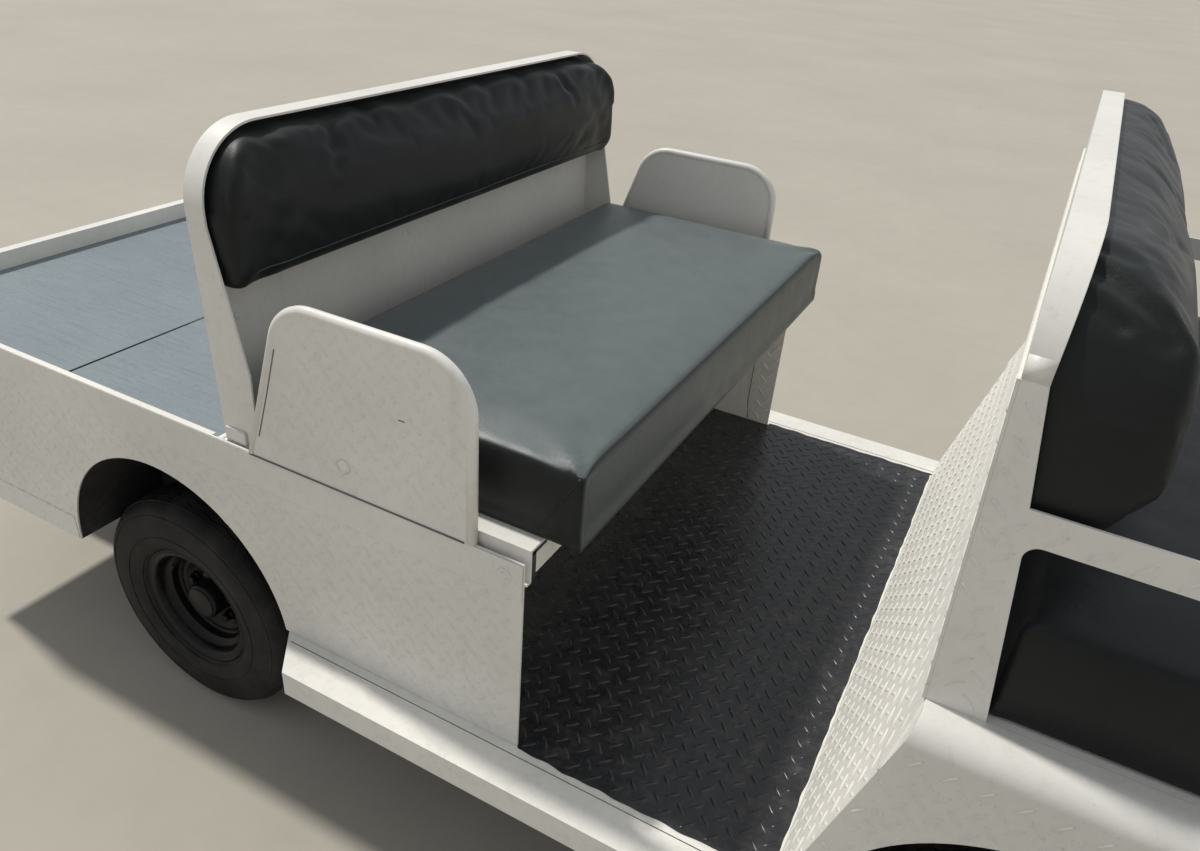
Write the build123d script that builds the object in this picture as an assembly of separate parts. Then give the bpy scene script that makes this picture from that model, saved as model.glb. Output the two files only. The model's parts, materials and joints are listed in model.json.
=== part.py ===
from build123d import *
import math
import os

# Burden carrier: a small electric works vehicle with two bench seats and a rear cargo deck.
# Millimetres. +X is forward, +Y is the vehicle's left, +Z is up, and Z = 0 is the ground.
# X = 0 lies in the front edge of the rear body's side panels, half-way along the vehicle.

# Levels above the ground
FLOOR_Z = 337.0
DECK_Z = 617.0
BODY_RAIL_Z = 651.0
BENCH_Z = 667.0
LEDGE_Z = 684.0
SKIRT_Z = 304.0
FRONT_SKIRT_Z = 297.0
FRONT_RISE = 38.0

# Stations along the body
BODY_REAR_X = -1385.0
BODY_FRONT_X = 1500.0
BACKREST_X = -497.0
RISER_X = -230.0
TOE_X = 365.0
TOE_TOP_X = 458.0

# Widths, each measured from the middle of the vehicle
FRONT_OUT = 32.0
STEP_OUT = 68.0
SEAT_FRAME_IN = 11.0
BODY_HALF = 525.0
FRONT_HALF = BODY_HALF + FRONT_OUT
STEP_HALF = BODY_HALF + STEP_OUT
SEAT_FRAME_HALF = BODY_HALF - SEAT_FRAME_IN

# Sheet and section sizes
SHEET = 3.0
SEAT_GAP = 0.3
WIDE = 2000.0
FRAME_RAIL_Y = 240.0
FRAME_RAIL_W = 50.0
FRAME_RAIL_H = 72.0
FRAME_WALL = 5.0
FRAME_END_GAP = 20.0
FRAME_TAIL = 135.0
FRAME_REAR_X = BODY_REAR_X - FRAME_TAIL
FRAME_FRONT_X = BODY_FRONT_X - FRAME_END_GAP
CROSS_W = 50.0
CROSS_TUBES = [-1480.0, -1040.0, -215.0, 340.0, 900.0, 1430.0]
STEP_DEPTH = 43.0
STEP_LIP = 26.0
STEP_REAR_X = -412.0
STEP_FRONT_X = 385.0
STEP_MITRE = 52.0
OUTRIGGER_IN = 30.0
OUTRIGGERS = [STEP_REAR_X + STEP_MITRE + OUTRIGGER_IN, -40.0, 330.0]

# Wheels and axles
REAR_AXLE_X = -697.0
FRONT_AXLE_X = 650.0
TYRE_R = 210.0
TYRE_W = 120.0
TYRE_WIDEST_R = 152.0
TYRE_SHOULDER_R = 185.0
TREAD_EDGE = 34.0
WHEEL_SIDES = 20
WHEEL_Y = 430.0
RIM_R = 101.6
RIM_FLANGE_R = 116.0
RIM_W = 96.0
RIM_WALL = 4.0
RIM_WELL_L = 26.0
RIM_WELL = 14.0
DISC_T = 6.0
DISC_STEP = 8.0
DISC_STEP_R = 72.0
HUB_R = 34.0
HUB_OUT = 36.0
HUB_IN = 34.0
HUB_BORE_R = 16.0
STUB_R = 15.9
STUB_OPEN = 12.0
STUB_PAST = 10.0
STUB_END_Y = WHEEL_Y + STUB_PAST
BRAKE_R = 62.0
BRAKE_W = 22.0
BRAKE_GAP = 18.0
AXLE_TUBE_R = 30.0
CASE_R = 62.0
CASE_L = 110.0
MOTOR_R = 58.0
MOTOR_L = 270.0
ROUND_SIDES = 12

# Steered front axle
KINGPIN_Y = 345.0
KINGPIN_R = 11.0
KINGPIN_GAP = 0.1
FORK_HALF = 22.0
FORK_BACK = 50.0
FORK_OPEN = 32.0
FORK_LOW = 38.0
FORK_HIGH = 52.0
BARREL_R = 21.0
BARREL_HALF = 37.0
STUB_FLANGE_R = 30.0
STUB_FLANGE_Y = 28.0
STEER_ARM = 105.0
STEER_ARM_RISE = 2.0
STEER_ARM_T = 12.0
STEER_ARM_HALF = 11.0
STEER_EYE_R = 15.0
TIE_END_H = 22.0
TIE_END_R = 14.0
TIE_ROD_R = 8.0

# Leaf springs
SPRING_LENGTH = 620.0
SPRING_W = 45.0
SPRING_LEAF = 7.0
SPRING_SAG = 22.0
SPRING_PAD = 6.0
SPRING_PAD_L = 70.0
SPRING_EYE_R = 14.0
SPRING_EAR = 4.0
LEAF_SHARES = [1.0, 0.72, 0.44]

# Wheel arches
ARCH_R = 242.0
REAR_ARCH_AHEAD = 39.0
REAR_ARCH_X = REAR_AXLE_X + REAR_ARCH_AHEAD
REAR_ARCH_Z = SKIRT_Z
FRONT_ARCH_Z = 350.0
HOUSING_W = 172.0
HOUSING_SIDES = 24

# Rear cargo deck
BOARD_T = 18.0
DECK_SEAM_X = -892.0
DECK_SEAM = 2.0
SIDE_RAIL_W = 10.0
END_RAIL_W = 22.0
SIDE_RAIL_END = 20.0
DECK_BEAM = 25.0
DECK_END_BEAM = 20.0
DECK_BEAMS = [BODY_REAR_X + DECK_END_BEAM, DECK_SEAM_X, -450.0]
DECK_POSTS = [BODY_REAR_X + DECK_END_BEAM, DECK_SEAM_X]

# Rear bench
BENCH_FRONT_X = 53.0
BENCH_T = 111.0
BENCH_EDGE = 14.0
BENCH_RAIL_IN = 10.0
BENCH_CUSHION_IN = 27.0
BENCH_RAIL_HALF = BODY_HALF - BENCH_RAIL_IN
BENCH_HALF = BENCH_RAIL_HALF - BENCH_CUSHION_IN
BENCH_RAIL_W = 36.0
BENCH_RAIL_H = 50.0
BENCH_CROSS_W = 30.0
BENCH_CROSS_H = 40.0
BENCH_RAIL_FRONT_X = 3.0
BENCH_FRAME_REAR_X = -435.0
RISER_IN = 10.0
REAR_BACK_TOP_Z = 1071.0
REAR_BACK_LEAN = 15.0
REAR_RIM_TOP = 32.0
REAR_RIM_KNEE = 21.0
REAR_RIM_KNEE_Z = 956.0
REAR_RIM_FOOT_Z = 762.0
BACK_CORNER_R = 100.0
REAR_PAD_LOW_Z = 873.0
REAR_PAD_T = 58.0
REAR_PAD_TOP_T = 22.0
REAR_PAD_ROUND = 50.0

# Armrests of the rear bench
ARM_OUT = 3.0
ARM_HALF = BODY_HALF + ARM_OUT
ARM_T = 12.0
ARM_EDGE = 3.0
ARM_TOP_Z = 896.0
ARM_FRONT_X = -72.0
ARM_REAR_X = -442.0
ARM_SLANT = 81.0
ARM_CORNER_R = 72.0

# Front bench
LEDGE_BEND_R = 30.0
LAP_Z = 611.0
SEAT_NOSE = 30.0
SILL_H = 32.0
SILL_CORNER_R = 60.0
FRONT_SEAT_X = 955.0
FRONT_CUSHION_T = 125.0
FRONT_CUSHION_X = 1010.0
FRONT_CUSHION_REAR_X = 510.0
FRONT_CUSHION_EDGE = 16.0
FRONT_CUSHION_IN = 4.0
FRONT_BACK_TOP_Z = 1142.0
FRONT_BACK_X = TOE_TOP_X
FRONT_BACK_LEAN = 18.0
FRONT_UPRIGHT_TOP = 1035.0
FRONT_RIM_TOP = 30.0
FRONT_RIM_KNEE = 8.0
FRONT_RIM_BAR = 26.0
FRONT_RIM_FOOT = 44.0
FRONT_BACK_CORNER_R = 120.0
FRONT_PAD_LOW_Z = 902.0
FRONT_PAD_T = 114.0
FRONT_PAD_TOP_T = 40.0
FRONT_PAD_LOW_T = 78.0
FRONT_PAD_ROUND = 60.0
ARM_BAR_TOP_Z = 924.0
ARM_BAR_DEPTH = 34.0
ARM_BAR_FRONT_X = 905.0
ARM_BAR_CORNER_R = 70.0
WINDOW_REAR_X = 516.0
WINDOW_SLANT = 26.0
WINDOW_CORNER_R = 14.0

# Front footwell, cowl and bumper
ENTRY_FRONT_X = 1330.0
ENTRY_SLANT = 25.0
COWL_TOP_Z = 945.0
COWL_LEAN = 60.0
COWL_SIDE_DROP = 30.0
COWL_BEND_R = 30.0
DASH_BEND_R = 24.0
DASH_LOW_Z = 740.0
FRONT_FLOOR_LAP = 60.0
FOOT_SLOPE_X = 1375.0
FOOT_SLOPE_L = 80.0
FOOT_SLOPE_H = 110.0
BUMPER_X = 1600.0
BUMPER_H = 90.0
BUMPER_HALF = 470.0
BUMPER_D = 45.0
BUMPER_WALL = 5.0
BUMPER_BRACKET_W = 40.0
BUMPER_BRACKET_H = 26.0
LAMP_R = 70.0
LAMP_D = 36.0
LAMP_EDGE = 16.0
LAMP_Y = 380.0
LAMP_Z = 700.0
TAIL_LAMP_R = 42.0
TAIL_LAMP_D = 22.0
TAIL_LAMP_EDGE = 6.0
TAIL_LAMP_Y = 430.0
TAIL_LAMP_Z = 520.0

# Steering wheel, pedals and parking brake
STEER_Y = 260.0
STEER_WHEEL_X = 1150.0
STEER_WHEEL_Z = 1045.0
STEER_WHEEL_R = 185.0
STEER_RIM_R = 11.0
STEER_RIM_SIDES = 6
STEER_WHEEL_SIDES = 28
STEER_TILT = 25.0
STEER_HUB_R = 30.0
STEER_HUB_H = 30.0
SPOKE_W = 22.0
SPOKE_T = 6.0
COLUMN_R = 19.0
PEDAL_X = 1309.0
PEDAL_H = 120.0
PEDAL_T = 10.0
PEDAL_L = 75.0
PEDAL_TILT = 35.0
PEDAL_LEVER = 15.0
PEDALS = [(-100.0, 55.0), (45.0, 75.0)]
BRAKE_LEVER_X = 1015.0
BRAKE_LEVER_L = 330.0
BRAKE_GRIP_L = 110.0
BRAKE_ROD_R = 8.0
BRAKE_GRIP_R = 15.0
BRAKE_FOOT_L = 60.0
BRAKE_FOOT_W = 40.0
BRAKE_FOOT_H = 45.0
BRAKE_TILT = 20.0

# Battery set, closed in behind the riser
BATTERY_L = 760.0
BATTERY_W = 362.0
BATTERY_H = 276.0
BATTERY_BEARER_H = 20.0
BATTERY_BEARER_W = 24.0
BATTERY_BEARERS = [-998.0, -590.0, -290.0]
BATTERY_SPACE = 8.0
BATTERY_BEHIND = 20.0
BATTERY_FRONT_X = RISER_X - BATTERY_BEHIND

# Tow hitch
HITCH_PIN_R = 10.0
HITCH_EAR_R = 30.0
HITCH_EAR_T = 10.0
HITCH_EAR_Z = [14.0, 50.0]
HITCH_PLATE_T = 10.0
HITCH_X = -BUMPER_X + HITCH_EAR_R
HITCH_CLEAR = 5.0

RIGHT = -1
LEFT = 1
SIDES = {"right": RIGHT, "left": LEFT}


def block(x0, x1, y0, y1, z0, z1):
    """A box given by its two corners, in any order along each axis."""
    size = Box(abs(x1 - x0), abs(y1 - y0), abs(z1 - z0))
    return Pos((x0 + x1) / 2, (y0 + y1) / 2, (z0 + z1) / 2) * size


def face_of(points):
    """A flat face with straight sides through the points."""
    return make_face(Polyline(*points, close=True))


def along_y(face, y0, y1):
    """Extrudes a face drawn as (X, Z) between two widths."""
    low, high = min(y0, y1), max(y0, y1)
    return extrude(Plane.XZ.offset(-high) * face, high - low)


def along_x(face, x0, x1):
    """Extrudes a face drawn as (Y, Z) between two stations."""
    low, high = min(x0, x1), max(x0, x1)
    return extrude(Plane.YZ.offset(low) * face, high - low)


def disc(radius, sides):
    """A circle, or a regular polygon of the same width where sides are given."""
    if sides is None:
        return Circle(radius)
    return Rot(0, 0, 180 / sides) * RegularPolygon(radius, sides, major_radius=False)


def rod_y(x, z, radius, y0, y1, sides=None):
    """A bar along Y, round or with flat sides."""
    return along_y(Pos(x, z) * disc(radius, sides), y0, y1)


def rod_z(x, y, radius, z0, z1, sides=None):
    """A bar along Z, round or with flat sides."""
    return Pos(x, y, min(z0, z1)) * extrude(disc(radius, sides), abs(z1 - z0))


def turned(outline, sides):
    """A ring of flat facets about Z, from a closed (radius, height) outline."""
    widen = 1 / math.cos(math.pi / sides)
    rings = []
    for index in range(sides):
        angle = 2 * math.pi * (index + 0.5) / sides
        across, up = math.cos(angle) * widen, math.sin(angle) * widen
        rings.append([(r * across, r * up, height) for r, height in outline])
    faces = []
    for index, here in enumerate(rings):
        there = rings[(index + 1) % sides]
        for low in range(len(outline)):
            high = (low + 1) % len(outline)
            corners = [here[low], there[low], there[high], here[high]]
            faces.append(Face(Wire.make_polygon(corners, close=True)))
    return Solid(Shell(faces))


def rounded_top(half, low, high, radius):
    """An upright outline in (Y, Z) with its two top corners rounded."""
    outline = Pos(0, (low + high) / 2) * Rectangle(2 * half, high - low)
    top = outline.vertices().sort_by(Axis.Y)[-2:]
    return fillet(top, radius)


def on_line(z, low, high):
    """The X at height z on the line through two (X, Z) points."""
    share = (z - low[1]) / (high[1] - low[1])
    return low[0] + share * (high[0] - low[0])


# Chassis


def chassis_frame():
    """Two channel rails, cross tubes and the outriggers that carry floor and steps."""
    top = FLOOR_Z - SHEET
    low = top - FRAME_RAIL_H
    frame = None
    for side in (RIGHT, LEFT):
        outer = side * (FRAME_RAIL_Y + FRAME_RAIL_W / 2)
        inner = side * (FRAME_RAIL_Y - FRAME_RAIL_W / 2)
        web = block(FRAME_REAR_X, FRAME_FRONT_X, outer, outer - side * FRAME_WALL, low, top)
        upper = block(FRAME_REAR_X, FRAME_FRONT_X, outer, inner, top - FRAME_WALL, top)
        lower = block(FRAME_REAR_X, FRAME_FRONT_X, outer, inner, low, low + FRAME_WALL)
        rail = web + upper + lower
        frame = rail if frame is None else frame + rail
    span = FRAME_RAIL_Y + FRAME_RAIL_W / 2 - FRAME_WALL
    for x in CROSS_TUBES:
        frame += block(x - CROSS_W / 2, x + CROSS_W / 2, -span, span, low + FRAME_WALL, top)
    reach = STEP_HALF - SHEET
    for x in OUTRIGGERS:
        for side in (RIGHT, LEFT):
            frame += block(
                x - CROSS_W / 2, x + CROSS_W / 2,
                side * (span + FRAME_WALL), side * reach,
                FLOOR_Z - STEP_DEPTH + SHEET, top,
            )
    bearer = low + FRAME_WALL
    half = BATTERY_BEARER_W / 2
    for x in BATTERY_BEARERS:
        frame += block(x - half, x + half, -span, span, bearer, bearer + BATTERY_BEARER_H)
    return frame


def step_plan(inner, outer, rear_x, front_x):
    """A running board from above, its rear end cut off at a slant."""
    slant = STEP_MITRE * abs(outer - inner) / STEP_OUT
    return face_of([(rear_x, inner), (rear_x + slant, outer), (front_x, outer), (front_x, inner)])


def step_rails():
    """The white running boards, one channel at each side, flush with the floor."""
    low = FLOOR_Z - STEP_DEPTH
    end = SHEET * math.hypot(1, STEP_MITRE / STEP_OUT)
    depth = STEP_DEPTH - SHEET
    rails = []
    for side in (RIGHT, LEFT):
        inner, outer = side * BODY_HALF, side * STEP_HALF
        lip = side * (STEP_HALF - STEP_LIP)
        rear, front = STEP_REAR_X + end, STEP_FRONT_X - SHEET
        whole = extrude(step_plan(inner, outer, STEP_REAR_X, STEP_FRONT_X), STEP_DEPTH)
        hollow = extrude(step_plan(inner, outer - side * SHEET, rear, front), depth - SHEET)
        below = extrude(step_plan(inner, lip, rear, front), depth)
        rails.append(Pos(0, 0, low) * (whole - Pos(0, 0, SHEET) * hollow - below))
    return Compound(children=rails)


def footwell_floor():
    """The tread plate floor, notched round the battery set behind the riser."""
    low = FLOOR_Z - SHEET
    plate = block(STEP_REAR_X, TOE_X + SHEET, -BODY_HALF, BODY_HALF, low, FLOOR_Z)
    half = BATTERY_W / 2 + BATTERY_SPACE
    front = BATTERY_FRONT_X + BATTERY_SPACE
    return plate - block(STEP_REAR_X - SHEET, front, -half, half, 0, DECK_Z)


def battery_block():
    """The battery set as one plain block on bearers between the frame rails."""
    front = BATTERY_FRONT_X
    half = BATTERY_W / 2
    low = FLOOR_Z - SHEET - FRAME_RAIL_H + FRAME_WALL + BATTERY_BEARER_H
    return block(front - BATTERY_L, front, -half, half, low, low + BATTERY_H)


# Rear body


def arch_cut(x, z):
    """The round wheel opening in (X, Z), open at the bottom."""
    return Pos(x, z) * Circle(ARCH_R)


def rear_side_panel(side):
    """One side of the rear body with its wheel arch and folded top rail."""
    outline = face_of([
        (BODY_REAR_X, SKIRT_Z), (BODY_REAR_X, BODY_RAIL_Z), (0, BODY_RAIL_Z),
        (0, FLOOR_Z), (REAR_ARCH_X + ARCH_R / 2, FLOOR_Z), (REAR_ARCH_X, SKIRT_Z),
    ])
    outline -= arch_cut(REAR_ARCH_X, REAR_ARCH_Z)
    inner = side * (BODY_HALF - SHEET)
    panel = along_y(outline, side * BODY_HALF, inner)
    rail_in = side * (BODY_HALF - SIDE_RAIL_W)
    rail_front = BACKREST_X - SIDE_RAIL_END
    cap_z = BODY_RAIL_Z - SHEET
    panel += block(BODY_REAR_X, rail_front, inner, rail_in, cap_z, BODY_RAIL_Z)
    panel += block(
        BODY_REAR_X + SHEET, rail_front, rail_in, rail_in + side * SHEET,
        DECK_Z - BOARD_T, BODY_RAIL_Z,
    )
    return panel


def rear_wheel_housings():
    """The bent sheet over each rear wheel, from the arch's edge inward."""
    ring = disc(ARCH_R + SHEET, HOUSING_SIDES) - disc(ARCH_R, HOUSING_SIDES)
    keep = Pos(0, ARCH_R) * Rectangle(4 * ARCH_R, 2 * ARCH_R)
    outline = Pos(REAR_ARCH_X, REAR_ARCH_Z) * (ring & keep)
    outer = BODY_HALF - SHEET
    return Compound(children=[
        along_y(outline, side * outer, side * (outer - HOUSING_W)) for side in (RIGHT, LEFT)
    ])


def rear_end_panel():
    """The rear face with its top rail folded down to the deck."""
    half = BODY_HALF - SHEET
    x = BODY_REAR_X
    lip_x = x + END_RAIL_W
    notch_half = FRAME_RAIL_Y + FRAME_RAIL_W / 2 + HITCH_CLEAR
    rail_half = BODY_HALF - SIDE_RAIL_W
    cap_z = BODY_RAIL_Z - SHEET
    sheet = block(x, x + SHEET, -half, half, SKIRT_Z, cap_z)
    cap = block(x, lip_x, -rail_half, rail_half, cap_z, BODY_RAIL_Z)
    lip = block(lip_x - SHEET, lip_x, -rail_half, rail_half, DECK_Z - BOARD_T, BODY_RAIL_Z)
    notch = block(
        x - SHEET, lip_x - SHEET, -notch_half, notch_half, 0, FLOOR_Z + HITCH_CLEAR
    )
    return sheet + cap + lip - notch


def deck_frame():
    """Angle sections under the boards, with posts down to the chassis."""
    top = DECK_Z - BOARD_T
    half = BODY_HALF - SHEET
    low = top - DECK_BEAM
    frame = None
    for side in (RIGHT, LEFT):
        beam = block(
            BODY_REAR_X + SHEET, BENCH_FRAME_REAR_X,
            side * half, side * (half - DECK_BEAM), low, top,
        )
        frame = beam if frame is None else frame + beam
    for x in DECK_BEAMS:
        frame += block(x - DECK_BEAM / 2, x + DECK_BEAM / 2, -half, half, low, top)
    for x in DECK_POSTS:
        for side in (RIGHT, LEFT):
            y = side * (FRAME_RAIL_Y + FRAME_RAIL_W / 2 - DECK_BEAM / 2)
            frame += block(
                x - DECK_BEAM / 2, x + DECK_BEAM / 2,
                y - DECK_BEAM / 2, y + DECK_BEAM / 2, FLOOR_Z - SHEET, low,
            )
    return frame


def deck_boards():
    """Two painted boards that meet in a narrow seam across the deck."""
    half = BODY_HALF - SIDE_RAIL_W
    low = DECK_Z - BOARD_T
    seam = DECK_SEAM / 2
    rear = block(BODY_REAR_X + END_RAIL_W, DECK_SEAM_X - seam, -half, half, low, DECK_Z)
    front = block(DECK_SEAM_X + seam, BENCH_FRAME_REAR_X, -half, half, low, DECK_Z)
    return Compound(children=[rear, front])


# Rear bench


def backrest_tray(profile, half, low, high, radius):
    """A sheet backrest with a rim turned forward round its sides and top.

    The profile is the rim's side view as (X, Z), rear edge first.
    """
    rear_low, rear_high = profile[0], profile[1]
    side_view = along_y(face_of(profile), -half, half)
    solid = side_view & along_x(rounded_top(half, low, high, radius), -WIDE, WIDE)
    hollow = face_of([
        (rear_low[0] + SHEET, rear_low[1]), (rear_high[0] + SHEET, rear_high[1]),
        (rear_high[0] + WIDE, rear_high[1]), (rear_low[0] + WIDE, rear_low[1]),
    ])
    inside = along_y(hollow, -half, half)
    inside &= along_x(
        rounded_top(half - SHEET, low - 1, high - SHEET, radius - SHEET), -WIDE, WIDE
    )
    return solid - inside


def bench_back_shell():
    """The rear bench's white backrest, standing on the front of the deck."""
    head_x = BACKREST_X - REAR_BACK_LEAN
    return backrest_tray(
        [
            (BACKREST_X, DECK_Z), (head_x, REAR_BACK_TOP_Z),
            (head_x + REAR_RIM_TOP, REAR_BACK_TOP_Z),
            (BACKREST_X + REAR_RIM_KNEE, REAR_RIM_KNEE_Z),
            (BENCH_FRAME_REAR_X, REAR_RIM_FOOT_Z), (BENCH_FRAME_REAR_X, DECK_Z),
        ],
        SEAT_FRAME_HALF, DECK_Z, REAR_BACK_TOP_Z, BACK_CORNER_R,
    )


def seat_pad(profile, half, low, high, radius):
    """A back pad that fills a backrest's rim, as (X, Z) side view and (Y, Z) front view."""
    pad = along_y(face_of(profile), -half, half)
    return pad & along_x(rounded_top(half, low, high, radius), -WIDE, WIDE)


def bench_back_pad():
    """The black upper back pad, closed at its lower edge."""
    gap = SHEET + SEAT_GAP
    foot, head = (BACKREST_X, DECK_Z), (BACKREST_X - REAR_BACK_LEAN, REAR_BACK_TOP_Z)
    low, high = REAR_PAD_LOW_Z, REAR_BACK_TOP_Z - gap
    rear = BACKREST_X + gap
    return seat_pad(
        [
            (on_line(low, foot, head) + gap, low), (on_line(high, foot, head) + gap, high),
            (rear + REAR_PAD_TOP_T, high),
            (rear + REAR_PAD_T - 6, REAR_BACK_TOP_Z - REAR_PAD_ROUND),
            (rear + REAR_PAD_T, low + REAR_PAD_ROUND / 2), (rear + REAR_PAD_T * 0.7, low),
        ],
        SEAT_FRAME_HALF - gap, low, high, BACK_CORNER_R - gap,
    )


def bench_cushion():
    """The rear bench's box cushion."""
    low = BENCH_Z + SEAT_GAP
    cushion = block(
        BENCH_FRAME_REAR_X, BENCH_FRONT_X, -BENCH_HALF, BENCH_HALF, low, BENCH_Z + BENCH_T
    )
    return fillet(cushion.edges().group_by(Axis.Z)[-1], BENCH_EDGE)


def bench_seat_frame():
    """The white channels at the cushion's sides with the cross rail under its front."""
    low = BENCH_Z - BENCH_RAIL_H
    rear, front = BENCH_FRAME_REAR_X, BENCH_RAIL_FRONT_X
    plate = BENCH_Z - SHEET
    frame = None
    for side in (RIGHT, LEFT):
        outer = side * BENCH_RAIL_HALF
        inner = side * (BENCH_RAIL_HALF - BENCH_RAIL_W)
        top = block(rear, front, outer, inner, plate, BENCH_Z)
        web = block(rear, front, outer, outer - side * SHEET, low, BENCH_Z)
        foot = block(rear, front, outer, side * (BODY_HALF - SHEET), low, low + SHEET)
        rail = top + web + foot
        frame = rail if frame is None else frame + rail
    span = BENCH_RAIL_HALF - SHEET
    frame += block(front - BENCH_CROSS_W, front, -span, span, plate, BENCH_Z)
    frame += block(front - SHEET, front, -span, span, BENCH_Z - BENCH_CROSS_H, BENCH_Z)
    frame += block(rear, rear + BENCH_CROSS_W, -span, span, plate, BENCH_Z)
    return frame


def under_seat_riser():
    """The set-back white sheet below the rear bench."""
    half = BODY_HALF - SHEET - RISER_IN
    top = BENCH_Z - SHEET
    riser = block(RISER_X - SHEET, RISER_X, -half, half, FLOOR_Z, top)
    flange_half = half - SHEET
    flange = block(
        RISER_X - BENCH_CROSS_W, RISER_X, -flange_half, flange_half, top - SHEET, top
    )
    return riser + flange


def armrest(side):
    """A flat armrest with rounded top corners and a slanted rear edge."""
    outline = face_of([
        (ARM_FRONT_X, BODY_RAIL_Z), (ARM_FRONT_X, ARM_TOP_Z),
        (ARM_REAR_X + ARM_SLANT, ARM_TOP_Z), (ARM_REAR_X, BODY_RAIL_Z),
    ])
    outline = fillet(outline.vertices().sort_by(Axis.Y)[-2:], ARM_CORNER_R)
    plate = along_y(outline, side * ARM_HALF, side * (ARM_HALF - ARM_T))
    rounded = [
        edge for edge in plate.edges()
        if abs(edge.center().Z - BODY_RAIL_Z) > 1 and abs(edge.bounding_box().size.Y) < 1
    ]
    return chamfer(rounded, ARM_EDGE)


def armrests():
    """Both armrests of the rear bench."""
    return Compound(children=[armrest(RIGHT), armrest(LEFT)])


# Front body and front bench


def toe_x(z):
    """The X of the toe-board's rear face at a height."""
    return on_line(z, (TOE_X, FLOOR_Z), (TOE_TOP_X, LEDGE_Z - SHEET))


def toe_board():
    """The sloped sheet before the middle footwell, and the lapped sheet behind the backrest."""
    top_z = LEDGE_Z - SHEET
    lower = along_y(
        face_of([
            (TOE_X, FLOOR_Z), (TOE_TOP_X, top_z), (TOE_TOP_X + SHEET, top_z),
            (TOE_X + SHEET, FLOOR_Z),
        ]),
        -WIDE, WIDE,
    )
    lower &= along_x(
        rounded_top(FRONT_HALF - SHEET, FLOOR_Z, top_z, LEDGE_BEND_R), -WIDE, WIDE
    )
    head = (FRONT_BACK_X - FRONT_BACK_LEAN, FRONT_BACK_TOP_Z)
    high_x = on_line(FRONT_UPRIGHT_TOP, (FRONT_BACK_X, LEDGE_Z), head)
    upper = along_y(
        face_of([
            (toe_x(LAP_Z), LAP_Z), (TOE_TOP_X, top_z), (FRONT_BACK_X, LEDGE_Z),
            (high_x, FRONT_UPRIGHT_TOP), (high_x - SHEET, FRONT_UPRIGHT_TOP),
            (FRONT_BACK_X - SHEET, LEDGE_Z), (toe_x(LAP_Z) - SHEET, LAP_Z),
        ]),
        -WIDE, WIDE,
    )
    upper &= along_x(
        face_of([
            (-FRONT_HALF, LAP_Z), (FRONT_HALF, LAP_Z), (SEAT_FRAME_HALF, LEDGE_Z),
            (SEAT_FRAME_HALF, FRONT_UPRIGHT_TOP), (-SEAT_FRAME_HALF, FRONT_UPRIGHT_TOP),
            (-SEAT_FRAME_HALF, LEDGE_Z),
        ]),
        -WIDE, WIDE,
    )
    return lower + upper


def ledge_bend(side):
    """The seat box side, bent over in a large radius to the ledge, as a section in (Y, Z)."""
    outer = rounded_top(FRONT_HALF, 0, LEDGE_Z, LEDGE_BEND_R)
    inner = rounded_top(FRONT_HALF - SHEET, -1, LEDGE_Z - SHEET, LEDGE_BEND_R - SHEET)
    middle = side * (SEAT_FRAME_HALF - SHEET)
    keep = Pos((middle + side * WIDE) / 2, 0) * Rectangle(abs(side * WIDE - middle), 2 * WIDE)
    return (outer - inner) & keep


def front_side_panel(side):
    """One side of the front body: seat box side, entry sill, cowl side and wheel arch."""
    low = FRONT_SKIRT_Z
    sill_z = FLOOR_Z + FRONT_RISE + SILL_H
    dash_x = ENTRY_FRONT_X + ENTRY_SLANT
    side_top = COWL_TOP_Z - COWL_SIDE_DROP
    seat_box = face_of([
        (TOE_X, FLOOR_Z), (toe_x(LEDGE_Z), LEDGE_Z), (FRONT_SEAT_X, LEDGE_Z),
        (FRONT_SEAT_X, low), (STEP_FRONT_X + SHEET, low), (STEP_FRONT_X + SHEET, FLOOR_Z),
    ])
    entry = face_of([
        (FRONT_SEAT_X, low), (FRONT_SEAT_X, LEDGE_Z - LEDGE_BEND_R),
        (FRONT_SEAT_X + SEAT_NOSE, sill_z), (ENTRY_FRONT_X, sill_z), (dash_x, side_top),
        (BODY_FRONT_X - COWL_LEAN, side_top), (BODY_FRONT_X, low),
    ])
    corners = [
        corner for corner in entry.vertices()
        if abs(corner.Y - sill_z) < 1
    ]
    entry = fillet(corners, SILL_CORNER_R)
    arch = arch_cut(FRONT_AXLE_X, FRONT_ARCH_Z)
    panel = along_y(seat_box - arch, side * WIDE, side)
    panel &= along_x(ledge_bend(side), -WIDE, WIDE)
    inner = side * (FRONT_HALF - SHEET)
    panel += along_y(entry - arch, side * FRONT_HALF, inner)
    return panel


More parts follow.
